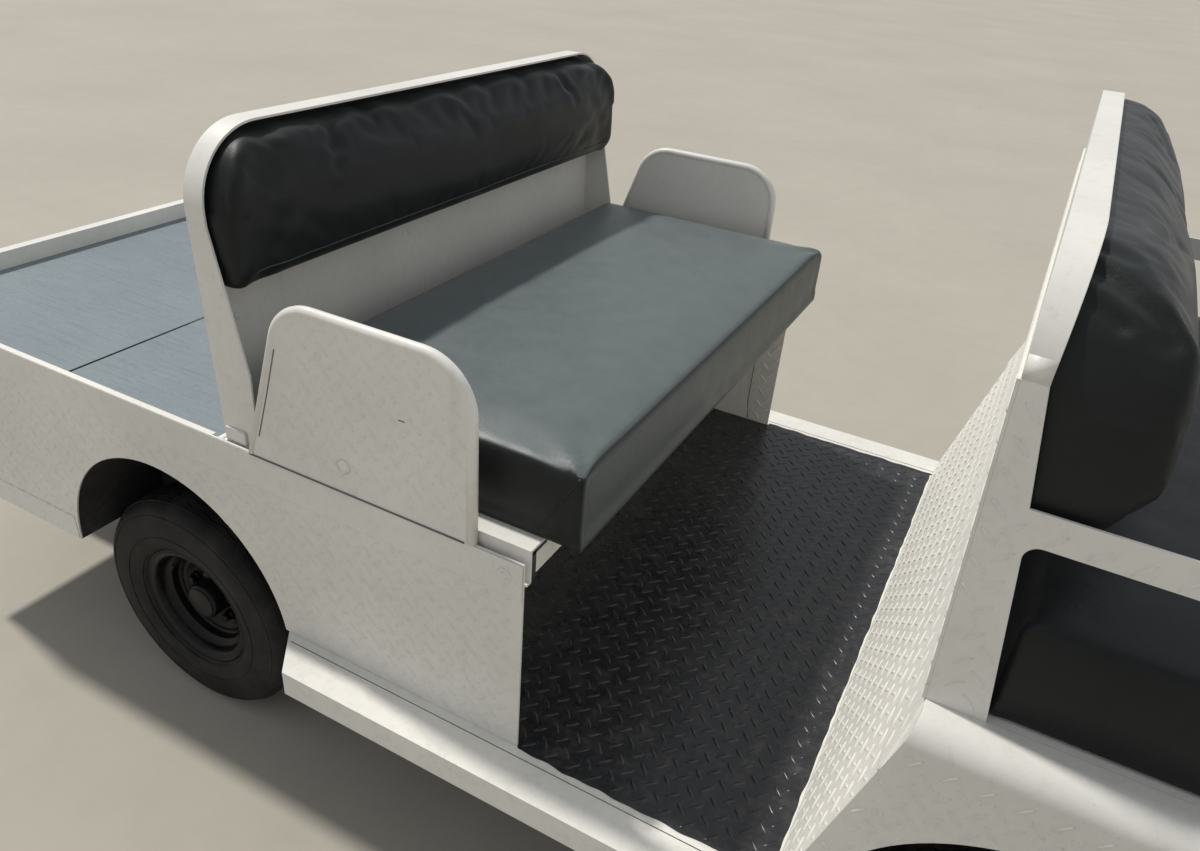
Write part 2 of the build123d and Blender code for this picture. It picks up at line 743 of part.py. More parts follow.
def front_seat_side(side):
    """The plate beside the front bench, cut out to an upright and an armrest bar."""
    foot = LEDGE_Z
    bar_low = ARM_BAR_TOP_Z - ARM_BAR_DEPTH
    head = (FRONT_BACK_X - FRONT_BACK_LEAN, FRONT_BACK_TOP_Z)
    high_x = on_line(FRONT_UPRIGHT_TOP, (FRONT_BACK_X, LEDGE_Z), head)
    outer = face_of([
        (FRONT_BACK_X, foot), (high_x, FRONT_UPRIGHT_TOP),
        (FRONT_BACK_X + FRONT_RIM_KNEE, FRONT_UPRIGHT_TOP),
        (FRONT_BACK_X + FRONT_RIM_BAR, ARM_BAR_TOP_Z),
        (ARM_BAR_FRONT_X, ARM_BAR_TOP_Z), (ARM_BAR_FRONT_X, foot),
    ])
    front_corner = [
        corner for corner in outer.vertices()
        if abs(corner.X - ARM_BAR_FRONT_X) < 1 and abs(corner.Y - ARM_BAR_TOP_Z) < 1
    ]
    outer = fillet(front_corner, ARM_BAR_CORNER_R)
    window_front = ARM_BAR_FRONT_X - ARM_BAR_DEPTH
    window = face_of([
        (WINDOW_REAR_X, foot), (WINDOW_REAR_X - WINDOW_SLANT, bar_low),
        (window_front, bar_low), (window_front, foot),
    ])
    window = fillet(window.vertices().sort_by(Axis.Y)[-2:], WINDOW_CORNER_R)
    return along_y(outer - window, side * SEAT_FRAME_HALF, side * (SEAT_FRAME_HALF - SHEET))


def front_seat_sides():
    """Both open-frame armrest plates of the front bench."""
    return Compound(children=[front_seat_side(RIGHT), front_seat_side(LEFT)])


def front_seat_base():
    """The deck under the front cushion and the riser in front of it."""
    half = SEAT_FRAME_HALF - SHEET
    plate = LEDGE_Z - SHEET
    deck = block(TOE_TOP_X + SHEET, FRONT_SEAT_X, -half, half, plate, LEDGE_Z)
    riser = along_x(
        rounded_top(FRONT_HALF - SHEET, FLOOR_Z + FRONT_RISE, plate, LEDGE_BEND_R),
        FRONT_SEAT_X - SHEET, FRONT_SEAT_X,
    )
    return deck + riser


def front_back_shell():
    """The front bench's white backrest."""
    rear = FRONT_BACK_X
    head_x = rear - FRONT_BACK_LEAN
    return backrest_tray(
        [
            (rear, LEDGE_Z), (head_x, FRONT_BACK_TOP_Z),
            (head_x + FRONT_RIM_TOP, FRONT_BACK_TOP_Z),
            (rear + FRONT_RIM_KNEE, FRONT_UPRIGHT_TOP), (rear + FRONT_RIM_BAR, ARM_BAR_TOP_Z),
            (rear + FRONT_RIM_FOOT, LEDGE_Z),
        ],
        SEAT_FRAME_HALF - SHEET, LEDGE_Z, FRONT_BACK_TOP_Z, FRONT_BACK_CORNER_R,
    )


def front_back_pad():
    """The front bench's thick black back pad."""
    gap = SHEET + SEAT_GAP
    rear = FRONT_BACK_X + gap
    foot, head = (FRONT_BACK_X, LEDGE_Z), (FRONT_BACK_X - FRONT_BACK_LEAN, FRONT_BACK_TOP_Z)
    low, high = FRONT_PAD_LOW_Z, FRONT_BACK_TOP_Z - gap
    return seat_pad(
        [
            (on_line(low, foot, head) + gap, low), (on_line(high, foot, head) + gap, high),
            (rear + FRONT_PAD_TOP_T, high),
            (rear + FRONT_PAD_T - 18, FRONT_BACK_TOP_Z - FRONT_PAD_ROUND),
            (rear + FRONT_PAD_T, low + FRONT_PAD_ROUND), (rear + FRONT_PAD_LOW_T, low),
        ],
        SEAT_FRAME_HALF - SHEET - gap, low, high, FRONT_BACK_CORNER_R - gap,
    )


def front_cushion():
    """The front bench's cushion, between the armrest plates."""
    half = SEAT_FRAME_HALF - SHEET - FRONT_CUSHION_IN
    low = LEDGE_Z + SEAT_GAP
    cushion = block(
        FRONT_CUSHION_REAR_X, FRONT_CUSHION_X, -half, half, low, low + FRONT_CUSHION_T
    )
    return fillet(cushion.edges().group_by(Axis.Z)[-1], FRONT_CUSHION_EDGE)


def front_floor():
    """The front footwell's tread plate with its sloped toe part."""
    top = FLOOR_Z + FRONT_RISE
    half = FRONT_HALF - SHEET
    rear = FRONT_SEAT_X - FRONT_FLOOR_LAP
    slope_x = FOOT_SLOPE_X + FOOT_SLOPE_L
    section = face_of([
        (rear, top), (FOOT_SLOPE_X, top), (slope_x, top + FOOT_SLOPE_H),
        (slope_x + SHEET, top + FOOT_SLOPE_H), (FOOT_SLOPE_X + SHEET, top - SHEET),
        (rear, top - SHEET),
    ])
    return along_y(section, -half, half)


def cowl_outline(inset):
    """The cowl's section in (X, Z), moved inward by a distance, its two upper bends rounded."""
    low = FRONT_SKIRT_Z
    dash_x = ENTRY_FRONT_X + ENTRY_SLANT
    top = COWL_TOP_Z - inset
    front = BODY_FRONT_X + SHEET - inset
    outline = face_of([
        (front, low - inset), (front - COWL_LEAN, top), (dash_x + inset, top),
        (dash_x + inset, DASH_LOW_Z - inset),
    ])
    corners = outline.vertices().sort_by(Axis.Y)[-2:].sort_by(Axis.X)
    outline = fillet(corners[1], COWL_BEND_R - inset)
    rear_corner = [
        corner for corner in outline.vertices()
        if abs(corner.X - dash_x - inset) < 1 and abs(corner.Y - top) < 1
    ]
    return fillet(rear_corner, DASH_BEND_R - inset)


def cowl():
    """The front face, bent back over the top and down to the dash."""
    half = FRONT_HALF - SHEET
    return along_y(cowl_outline(0) - cowl_outline(SHEET), -half, half)


def front_bumper():
    """A channel across the front on two brackets from the frame rails."""
    low = FLOOR_Z - SHEET - FRAME_RAIL_H
    high = low + BUMPER_H
    wall = BUMPER_WALL
    back = BUMPER_X - BUMPER_D
    bumper = block(BUMPER_X - wall, BUMPER_X, -BUMPER_HALF, BUMPER_HALF, low, high)
    bumper += block(back, BUMPER_X, -BUMPER_HALF, BUMPER_HALF, high - wall, high)
    bumper += block(back, BUMPER_X, -BUMPER_HALF, BUMPER_HALF, low, low + wall)
    for side in (RIGHT, LEFT):
        y = side * FRAME_RAIL_Y
        half = BUMPER_BRACKET_W / 2
        bumper += block(
            FRAME_FRONT_X, BUMPER_X - wall, y - half, y + half,
            low + wall, low + wall + BUMPER_BRACKET_H,
        )
    return bumper


def headlamps():
    """Two round lamps let into the cowl's front face."""
    low = FRONT_SKIRT_Z
    lean = math.degrees(math.atan2(COWL_LEAN, COWL_TOP_Z - low))
    x = on_line(
        LAMP_Z, (BODY_FRONT_X + SHEET, low), (BODY_FRONT_X + SHEET - COWL_LEAN, COWL_TOP_Z)
    )
    lamps = []
    for side in (RIGHT, LEFT):
        lamp = extrude(disc(LAMP_R, ROUND_SIDES), LAMP_D)
        lamp = chamfer(lamp.edges().group_by(Axis.Z)[-1], LAMP_EDGE)
        place = Pos(x, side * LAMP_Y, LAMP_Z) * Rot(0, 90 - lean, 0)
        lamps.append(place * lamp)
    return Compound(children=lamps)


def tail_lamps():
    """Two round red lamps on the rear face."""
    lamps = []
    for side in (RIGHT, LEFT):
        lamp = extrude(disc(TAIL_LAMP_R, ROUND_SIDES), TAIL_LAMP_D)
        lamp = chamfer(lamp.edges().group_by(Axis.Z)[-1], TAIL_LAMP_EDGE)
        place = Pos(BODY_REAR_X, side * TAIL_LAMP_Y, TAIL_LAMP_Z) * Rot(0, -90, 0)
        lamps.append(place * lamp)
    return Compound(children=lamps)


# Driver's controls


def steer_place():
    """The steering wheel's centre, with local Z up the column."""
    return Pos(STEER_WHEEL_X, STEER_Y, STEER_WHEEL_Z) * Rot(0, -STEER_TILT, 0)


def steering_column():
    """The column tube, from the toe slope up to the hub."""
    floor_z = FLOOR_Z + FRONT_RISE
    length = (STEER_WHEEL_Z - floor_z) / math.cos(math.radians(STEER_TILT))
    top = -STEER_HUB_H - SEAT_GAP
    tube = steer_place() * Pos(0, 0, top - length) * extrude(disc(COLUMN_R, ROUND_SIDES), length)
    under = face_of([
        (ENTRY_FRONT_X, floor_z), (FOOT_SLOPE_X, floor_z),
        (FOOT_SLOPE_X + 2 * FOOT_SLOPE_L, floor_z + 2 * FOOT_SLOPE_H),
        (FOOT_SLOPE_X + 2 * FOOT_SLOPE_L, 0), (ENTRY_FRONT_X, 0),
    ])
    return tube - along_y(under, STEER_Y - 3 * COLUMN_R, STEER_Y + 3 * COLUMN_R)


def steering_wheel():
    """Rim, hub and three spokes."""
    middle = STEER_WHEEL_R - STEER_RIM_R
    outline = []
    for index in range(STEER_RIM_SIDES):
        angle = 2 * math.pi * (index + 0.5) / STEER_RIM_SIDES
        outline.append((
            middle + STEER_RIM_R * math.cos(angle), STEER_RIM_R * math.sin(angle),
        ))
    hub = Pos(0, 0, -STEER_HUB_H) * extrude(disc(STEER_HUB_R, ROUND_SIDES), STEER_HUB_H)
    wheel = turned(outline, STEER_WHEEL_SIDES) + hub
    for angle in (90, 210, 330):
        spoke = Pos(middle / 2, 0, -SPOKE_T) * Box(middle, SPOKE_W, SPOKE_T)
        wheel += Rot(0, 0, angle) * spoke
    return steer_place() * wheel


def pedals():
    """Accelerator and brake pads on short levers."""
    base_z = FLOOR_Z + FRONT_RISE
    lever_x = PEDAL_X + PEDAL_T * 0.6
    half = PEDAL_LEVER / 2
    parts = []
    for offset, width in PEDALS:
        y = STEER_Y + offset
        lever = block(
            lever_x, lever_x + PEDAL_LEVER, y - half, y + half, base_z, base_z + PEDAL_H
        )
        pad = Pos(PEDAL_X, y, base_z + PEDAL_H) * Rot(0, -PEDAL_TILT, 0)
        parts.append(lever + pad * Box(PEDAL_T, width, PEDAL_L))
    return Compound(children=parts)


def parking_brake_lever():
    """A hand lever beside the driver's seat on the front floor."""
    base_z = FLOOR_Z + FRONT_RISE
    half_l, half_w = BRAKE_FOOT_L / 2, BRAKE_FOOT_W / 2
    foot = block(
        BRAKE_LEVER_X - half_l, BRAKE_LEVER_X + half_l, -half_w, half_w,
        base_z, base_z + BRAKE_FOOT_H,
    )
    place = Pos(BRAKE_LEVER_X, 0, base_z + BRAKE_FOOT_H / 2) * Rot(0, BRAKE_TILT, 0)
    rod = place * extrude(disc(BRAKE_ROD_R, ROUND_SIDES), BRAKE_LEVER_L)
    grip = extrude(disc(BRAKE_GRIP_R, ROUND_SIDES), BRAKE_GRIP_L)
    return foot + rod + place * Pos(0, 0, BRAKE_LEVER_L - 2 * BRAKE_GRIP_R) * grip


# Running gear


def leaf_outline(share, high):
    """One leaf's side view in (X, Z), bent twice, its ends SPRING_SAG above its middle."""
    reach = SPRING_LENGTH / 2 * share
    sag = SPRING_SAG * share * share
    flat = SPRING_PAD_L / 2
    bend = (reach + flat) / 2
    upper = [
        (-reach, high + sag), (-bend, high + sag * 0.3), (-flat, high),
        (flat, high), (bend, high + sag * 0.3), (reach, high + sag),
    ]
    lower = [(x, z - SPRING_LEAF) for x, z in reversed(upper)]
    return face_of(upper + lower)


def leaf_spring(axle_x, side):
    """A short three-leaf pack hung under the axle, with its two hangers."""
    y = side * FRAME_RAIL_Y
    half_w = SPRING_W / 2
    top = TYRE_R - AXLE_TUBE_R - SPRING_PAD
    hang_z = FLOOR_Z - SHEET - FRAME_RAIL_H
    eye_z = top + SPRING_SAG - SPRING_LEAF + 1
    pack = None
    for count, share in enumerate(LEAF_SHARES):
        leaf = Pos(axle_x, 0) * leaf_outline(share, top - SPRING_LEAF * count)
        solid = along_y(leaf, y - half_w, y + half_w)
        pack = solid if pack is None else pack + solid
    for end in (-1, 1):
        x = axle_x + end * SPRING_LENGTH / 2
        pack += rod_y(x, eye_z, SPRING_EYE_R, y - half_w, y + half_w, ROUND_SIDES)
        for ear in (-1, 1):
            inner = y + ear * half_w
            pack += block(
                x - SPRING_EYE_R, x + SPRING_EYE_R, inner, inner + ear * SPRING_EAR,
                eye_z - SPRING_EYE_R, hang_z,
            )
    return pack


def leaf_springs():
    """The four leaf springs."""
    return Compound(children=[
        leaf_spring(x, side) for x in (REAR_AXLE_X, FRONT_AXLE_X) for side in (RIGHT, LEFT)
    ])


def spring_pads(axle_x):
    """The two flat seats under an axle that its springs bear on."""
    low = TYRE_R - AXLE_TUBE_R - SPRING_PAD
    pads = [
        block(
            axle_x - SPRING_PAD_L / 2, axle_x + SPRING_PAD_L / 2,
            side * FRAME_RAIL_Y - SPRING_W / 2, side * FRAME_RAIL_Y + SPRING_W / 2,
            low, TYRE_R,
        )
        for side in (RIGHT, LEFT)
    ]
    return pads[0] + pads[1]


def rear_axle():
    """Axle tube, drive case and the motor beside it."""
    reach = WHEEL_Y - RIM_W / 2 - BRAKE_GAP
    axle = rod_y(REAR_AXLE_X, TYRE_R, AXLE_TUBE_R, -reach, reach, ROUND_SIDES)
    axle += spring_pads(REAR_AXLE_X)
    axle += rod_y(REAR_AXLE_X, TYRE_R, CASE_R, -CASE_L / 2, CASE_L / 2, ROUND_SIDES)
    motor = Rot(0, 90, 0) * extrude(disc(MOTOR_R, ROUND_SIDES), MOTOR_L - CASE_R / 2)
    axle += Pos(REAR_AXLE_X - MOTOR_L, 0, TYRE_R) * motor
    for side in (RIGHT, LEFT):
        inner = side * (reach - BRAKE_W)
        axle += rod_y(REAR_AXLE_X, TYRE_R, BRAKE_R, side * reach, inner, ROUND_SIDES)
        axle += rod_y(REAR_AXLE_X, TYRE_R, STUB_R, side * reach, side * STUB_END_Y)
    return axle


def front_axle():
    """The beam with a forked end and kingpin at each side."""
    x, z = FRONT_AXLE_X, TYRE_R
    reach = KINGPIN_Y - FORK_OPEN - SHEET
    beam = rod_y(x, z, AXLE_TUBE_R, -reach, reach, ROUND_SIDES) + spring_pads(x)
    for side in (RIGHT, LEFT):
        back = side * (KINGPIN_Y - FORK_BACK)
        pin_y = side * KINGPIN_Y
        beam += block(
            x - FORK_HALF, x + FORK_HALF, back, side * (KINGPIN_Y - FORK_OPEN),
            z - FORK_HIGH, z + FORK_HIGH,
        )
        for z0, z1 in ((z - FORK_HIGH, z - FORK_LOW), (z + FORK_LOW, z + FORK_HIGH)):
            beam += block(x - FORK_HALF, x + FORK_HALF, back, pin_y, z0, z1)
            beam += rod_z(x, pin_y, FORK_HALF, z0, z1, ROUND_SIDES)
        beam += rod_z(x, pin_y, KINGPIN_R, z - FORK_HIGH, z + FORK_HIGH)
    return beam


def knuckle(side):
    """The kingpin barrel with its stub axle and steering arm."""
    x, y, z = FRONT_AXLE_X, side * KINGPIN_Y, TYRE_R
    start = y + side * KINGPIN_R
    body = rod_z(x, y, BARREL_R, z - BARREL_HALF, z + BARREL_HALF, ROUND_SIDES)
    body += rod_y(x, z, STUB_R, start, side * STUB_END_Y)
    body += rod_y(x, z, STUB_FLANGE_R, start, y + side * STUB_FLANGE_Y, ROUND_SIDES)
    arm_x = x - STEER_ARM
    low = z + STEER_ARM_RISE
    high = low + STEER_ARM_T
    body += block(arm_x, x, y - STEER_ARM_HALF, y + STEER_ARM_HALF, low, high)
    body += rod_z(arm_x, y, STEER_EYE_R, low, high, ROUND_SIDES)
    bore = KINGPIN_R + KINGPIN_GAP
    return body - rod_z(x, y, bore, z - FORK_HIGH, z + FORK_HIGH)


def tie_rod():
    """The rod that joins the two steering arms from above."""
    z = TYRE_R + STEER_ARM_RISE + STEER_ARM_T + TIE_END_H / 2 + SEAT_GAP
    x = FRONT_AXLE_X - STEER_ARM
    rod = rod_y(x, z, TIE_ROD_R, -KINGPIN_Y, KINGPIN_Y, ROUND_SIDES)
    for side in (RIGHT, LEFT):
        rod += rod_z(
            x, side * KINGPIN_Y, TIE_END_R, z - TIE_END_H / 2, z + TIE_END_H / 2, ROUND_SIDES
        )
    return rod


def on_axle(solid, x, side):
    """Places a wheel part, made about Z with its outboard side up, on an axle's end."""
    return Pos(x, side * WHEEL_Y, TYRE_R) * Rot(-90 * side, 0, 0) * solid


def wheel_rim(x, side):
    """A pressed-steel rim with its stepped disc on a round hub."""
    half = RIM_W / 2
    seat = RIM_R - RIM_WALL
    well = seat - RIM_WELL
    step = half - RIM_WELL_L
    step_in = DISC_STEP_R - DISC_STEP
    hub_in = HUB_R - RIM_WALL
    outline = [
        (RIM_FLANGE_R, -half), (RIM_FLANGE_R, RIM_WALL - half), (RIM_R, RIM_WALL - half),
        (RIM_R, half - RIM_WALL), (RIM_FLANGE_R, half - RIM_WALL), (RIM_FLANGE_R, half),
        (seat, half), (well, step), (well, DISC_T),
        (DISC_STEP_R, DISC_T), (step_in, DISC_T - DISC_STEP), (hub_in, DISC_T - DISC_STEP),
        (hub_in, -DISC_STEP), (step_in - RIM_WALL, -DISC_STEP), (DISC_STEP_R - RIM_WALL, 0),
        (well, 0), (seat, -half),
    ]
    hub = rod_z(0, 0, HUB_R, -HUB_IN, HUB_OUT, ROUND_SIDES)
    hub -= rod_z(0, 0, HUB_BORE_R, -HUB_IN, STUB_OPEN)
    return on_axle(turned(outline, WHEEL_SIDES) + hub, x, side)


def tyre(x, side):
    """A bias-ply tyre on its rim."""
    half = TYRE_W / 2
    bead = RIM_W / 2 - RIM_WALL - SEAT_GAP
    inner = RIM_R + SEAT_GAP
    outer_side = [
        (TYRE_R, half - TREAD_EDGE), (TYRE_SHOULDER_R, half - SHEET), (TYRE_WIDEST_R, half),
        (RIM_FLANGE_R + SHEET, bead + 2 * SHEET), (RIM_FLANGE_R, bead), (inner, bead),
    ]
    outline = outer_side + [(radius, -across) for radius, across in reversed(outer_side)]
    return on_axle(turned(outline, WHEEL_SIDES), x, side)


def tow_hitch():
    """A two-ear hitch with a pin hole, under the rear of the frame."""
    low = FLOOR_Z - SHEET - FRAME_RAIL_H
    rear = FRAME_REAR_X
    plate_x = rear - HITCH_PLATE_T
    hitch = block(plate_x, rear, -FRAME_RAIL_Y, FRAME_RAIL_Y, low, FLOOR_Z - SHEET)
    for rise in HITCH_EAR_Z:
        z = low + rise
        hitch += block(HITCH_X, plate_x, -HITCH_EAR_R, HITCH_EAR_R, z, z + HITCH_EAR_T)
        hitch += rod_z(HITCH_X, 0, HITCH_EAR_R, z, z + HITCH_EAR_T, ROUND_SIDES)
    return hitch - rod_z(HITCH_X, 0, HITCH_PIN_R, low, FLOOR_Z)


PIECES = {
    "chassis_frame": chassis_frame,
    "step_rails": step_rails,
    "footwell_floor": footwell_floor,
    "under_seat_riser": under_seat_riser,
    "battery_block": battery_block,
    "rear_wheel_housings": rear_wheel_housings,
    "rear_end_panel": rear_end_panel,
    "deck_frame": deck_frame,
    "deck_boards": deck_boards,
    "bench_back_shell": bench_back_shell,
    "bench_back_pad": bench_back_pad,
    "bench_cushion": bench_cushion,
    "bench_seat_frame": bench_seat_frame,
    "armrests": armrests,
    "toe_board": toe_board,
    "front_seat_sides": front_seat_sides,
    "front_seat_base": front_seat_base,
    "front_back_shell": front_back_shell,
    "front_back_pad": front_back_pad,
    "front_cushion": front_cushion,
    "front_floor": front_floor,
    "cowl": cowl,
    "front_bumper": front_bumper,
    "headlamps": headlamps,
    "tail_lamps": tail_lamps,
    "steering_column": steering_column,
    "steering_wheel": steering_wheel,
    "pedals": pedals,
    "parking_brake_lever": parking_brake_lever,
    "leaf_springs": leaf_springs,
    "rear_axle": rear_axle,
    "front_axle": front_axle,
    "tie_rod": tie_rod,
    "tow_hitch": tow_hitch,
}

SIDE_PIECES = {
    "rear_side_panel": rear_side_panel,
    "front_side_panel": front_side_panel,
    "knuckle": knuckle,
}

AXLES = {"rear": REAR_AXLE_X, "front": FRONT_AXLE_X}


def main():
    """Builds every piece and writes one file for each."""
    os.makedirs("parts", exist_ok=True)
    for name, build in PIECES.items():
        export_step(build(), f"parts/{name}.step")
    for side_name, side in SIDES.items():
        for name, build in SIDE_PIECES.items():
            export_step(build(side), f"parts/{name}_{side_name}.step")
        for axle_name, x in AXLES.items():
            export_step(wheel_rim(x, side), f"parts/rim_{axle_name}_{side_name}.step")
            export_step(tyre(x, side), f"parts/tyre_{axle_name}_{side_name}.step")


main()
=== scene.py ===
import json
import math
from contextlib import contextmanager

import bmesh
import bpy
from mathutils import Matrix, Vector, geometry, noise
from mathutils.bvhtree import BVHTree


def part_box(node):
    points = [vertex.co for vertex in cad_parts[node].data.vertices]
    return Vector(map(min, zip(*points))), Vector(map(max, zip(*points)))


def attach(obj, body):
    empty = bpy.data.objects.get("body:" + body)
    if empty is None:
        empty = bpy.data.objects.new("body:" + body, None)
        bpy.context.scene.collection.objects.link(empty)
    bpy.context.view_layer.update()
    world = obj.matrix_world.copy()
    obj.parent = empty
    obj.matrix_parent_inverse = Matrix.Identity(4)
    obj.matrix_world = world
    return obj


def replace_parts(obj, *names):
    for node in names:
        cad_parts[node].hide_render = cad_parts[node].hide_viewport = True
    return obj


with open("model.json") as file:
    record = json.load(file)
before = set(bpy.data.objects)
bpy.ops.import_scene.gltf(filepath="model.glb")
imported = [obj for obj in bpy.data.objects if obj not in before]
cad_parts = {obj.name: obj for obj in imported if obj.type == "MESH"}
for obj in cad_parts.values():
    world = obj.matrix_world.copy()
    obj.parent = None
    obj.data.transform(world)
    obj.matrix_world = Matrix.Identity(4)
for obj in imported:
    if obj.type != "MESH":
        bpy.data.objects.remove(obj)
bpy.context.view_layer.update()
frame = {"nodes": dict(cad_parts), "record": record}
NODES = frame["nodes"]
SCENE = bpy.context.scene
SIDES = {"right": -1, "left": 1}
BOTH = tuple(SIDES.values())
X_AXIS, Y_AXIS, Z_AXIS = Vector((1, 0, 0)), Vector((0, 1, 0)), Vector((0, 0, 1))

BOX = {name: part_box(name) for name in NODES}


def middle(name):
    """The middle of a CAD node's box."""
    low, high = BOX[name]
    return (low + high) / 2


# The vehicle's own sizes in metres, taken from the CAD nodes
FLOOR_Z = BOX["footwell_floor"][1].z
DECK_Z = BOX["deck_boards"][1].z
RAIL_Z = BOX["rear_side_panel_right"][1].z
BENCH_Z = BOX["bench_seat_frame"][1].z
LEDGE_Z = BOX["front_seat_base"][1].z
SKIRT_Z = BOX["rear_side_panel_right"][0].z
BODY_REAR = BOX["rear_end_panel"][0].x
RISER_X = BOX["under_seat_riser"][1].x
DASH_X = BOX["cowl"][0].x
BODY_HALF = BOX["rear_side_panel_left"][1].y
FRONT_HALF = BOX["front_side_panel_left"][1].y
SEAT_HALF = BOX["front_seat_sides"][1].y
ARM_HALF = BOX["armrests"][1].y
AXLES = {"rear": middle("tyre_rear_right").x, "front": middle("tyre_front_right").x}
WHEEL_Y = middle("tyre_rear_left").y
TYRE_R = middle("tyre_rear_left").z

# Places on the CAD nodes that their boxes don't show
DECK_SEAM = -0.892
BAND_Z = 0.595
COWL_FOOT_X, FRONT_SKIRT_Z = 1.503, 0.297
COWL_SLOPE = Vector((-0.060, 0, 0.648))
TOE_SLOPE = Vector((0.093, 0, 0.344))
TOE_FOOT_X, TOE_LAP_Z = 0.362, 0.611
STEERING_HUB, STEERING_TILT = Vector((1.150, 0.260, 1.045)), math.radians(25)
SPRING_Y, KINGPIN_Y = 0.240, 0.345


# Camera and light


def linked(name, data):
    """A new object in the scene."""
    made = bpy.data.objects.new(name, data)
    SCENE.collection.objects.link(made)
    return made


def place_camera():
    """The camera at the photograph's place, solved from the body's straight edges."""
    yaw, pitch, roll = 0.4466, 0.5314, 0.086
    forward = Vector((
        -math.sin(yaw) * math.cos(pitch), math.cos(yaw) * math.cos(pitch), -math.sin(pitch),
    ))
    level = Vector((math.cos(yaw), math.sin(yaw), 0))
    upright = level.cross(forward)
    right = level * math.cos(roll) + upright * math.sin(roll)
    up = upright * math.cos(roll) - level * math.sin(roll)
    data = bpy.data.cameras.new("camera")
    data.sensor_width, data.lens = 36.0, 27.06
    data.clip_start, data.clip_end = 0.02, 200
    place = Matrix((right, up, -forward)).transposed().to_4x4()
    place.translation = (0.4277, -1.2440, 1.3423)
    SCENE.camera = linked("camera", data)
    SCENE.camera.matrix_world = place


def light_scene():
    """A high soft key from the rear, as the photograph's sun, and an even fill."""
    world = bpy.data.worlds.new("studio")
    world.use_nodes = True
    SCENE.world = world
    background = world.node_tree.nodes["Background"]
    background.inputs["Color"].default_value = (0.93, 0.96, 1.0, 1)
    background.inputs["Strength"].default_value = 0.50
    data = bpy.data.lights.new("key", "SUN")
    data.energy, data.angle, data.color = 2.8, math.radians(3), (1.0, 0.97, 0.91)
    key = linked("key", data)
    toward = Vector((-0.65, 0.09, 1.0))
    key.rotation_mode = "QUATERNION"
    key.rotation_quaternion = toward.to_track_quat("Z", "Y")
    SCENE.view_settings.view_transform = "Standard"


# Materials


class Shade:
    """A node material round one Principled shader, in the vehicle's own coordinates."""

    def __init__(self, name, **sockets):
        self.material = bpy.data.materials.new(name)
        self.material.use_nodes = True
        self.tree = self.material.node_tree
        self.shader = self.tree.nodes["Principled BSDF"]
        self.place = self.tree.nodes.new("ShaderNodeTexCoord").outputs["Object"]
        for socket, value in sockets.items():
            self.put(socket.replace("_", " "), value)

    def put(self, socket, value):
        """Sets or links one socket of the shader."""
        self.join(self.shader.inputs[socket], value)

    def join(self, socket, value):
        """Links a socket's source, or sets a plain value."""
        if isinstance(value, bpy.types.NodeSocket):
            self.tree.links.new(value, socket)
        elif isinstance(value, tuple) and len(value) == 3 and socket.type == "RGBA":
            socket.default_value = (*value, 1)
        else:
            socket.default_value = value

    def node(self, kind, values, **settings):
        """Adds a node, with its inputs by name or number."""
        made = self.tree.nodes.new("ShaderNode" + kind)
        for setting, value in settings.items():
            setattr(made, setting, value)
        for key, value in values.items():
            self.join(made.inputs[key], value)
        return made

    def stretch(self, x, y, z):
        """The object's coordinates, scaled along each axis."""
        return self.node("Mapping", {"Vector": self.place, "Scale": (x, y, z)}).outputs[0]

    def noise(self, scale, detail=4.0, rough=0.55, place=None):
        """Cloudy noise from 0 to 1."""
        values = {
            "Vector": place or self.place, "Scale": scale, "Detail": detail, "Roughness": rough,
        }
        return self.node("TexNoise", values).outputs[0]

    def cells(self, scale, feature="F1", place=None):
        """Distance in a field of random cells."""
        values = {"Vector": place or self.place, "Scale": scale}
        return self.node("TexVoronoi", values, feature=feature).outputs["Distance"]

    def span(self, source, low, high, to_low=0.0, to_high=1.0):
        """Maps a range of one value to another range, held at its ends."""
        values = {0: source, 1: low, 2: high, 3: to_low, 4: to_high}
        return self.node("MapRange", values).outputs[0]

    def mix(self, share, first, second):
        """Mixes two colours."""
        made = self.node("Mix", {0: share}, data_type="RGBA")
        self.join(made.inputs[6], first)
        self.join(made.inputs[7], second)
        return made.outputs[2]

    def math(self, kind, first, second=0.0):
        """One step of arithmetic."""
        return self.node("Math", {0: first, 1: second}, operation=kind).outputs[0]

    def axis(self, name):
        """One of the object's coordinates."""
        return self.node("SeparateXYZ", {0: self.place}).outputs[name]

    def soft(self, radius):
        """Rounds the look of sharp sheet edges."""
        return self.node("Bevel", {"Radius": radius}, samples=4).outputs[0]

    def relief(self, *layers, normal=None):
        """Adds layers of relief, each as (height, strength, distance)."""
        for height, strength, distance in layers:
            values = {"Height": height, "Strength": strength, "Distance": distance}
            if normal is not None:
                values["Normal"] = normal
            normal = self.node("Bump", values).outputs[0]
        self.put("Normal", normal)

    def over(self, base, colour, source, low, high, amount=1.0):
        """Lays one colour over another where a value rises through a range."""
        return self.mix(self.span(source, low, high, 0, amount), base, colour)

    def surface(self, colour, source, low, high, rough, rougher):
        """Sets the colour, and a roughness that follows a value through a range."""
        self.put("Base Color", colour)
        self.put("Roughness", self.span(source, low, high, rough, rougher))
        return self.material


def scaled(colour, share):
    """A colour made lighter or darker."""
    return tuple(c * share for c in colour)


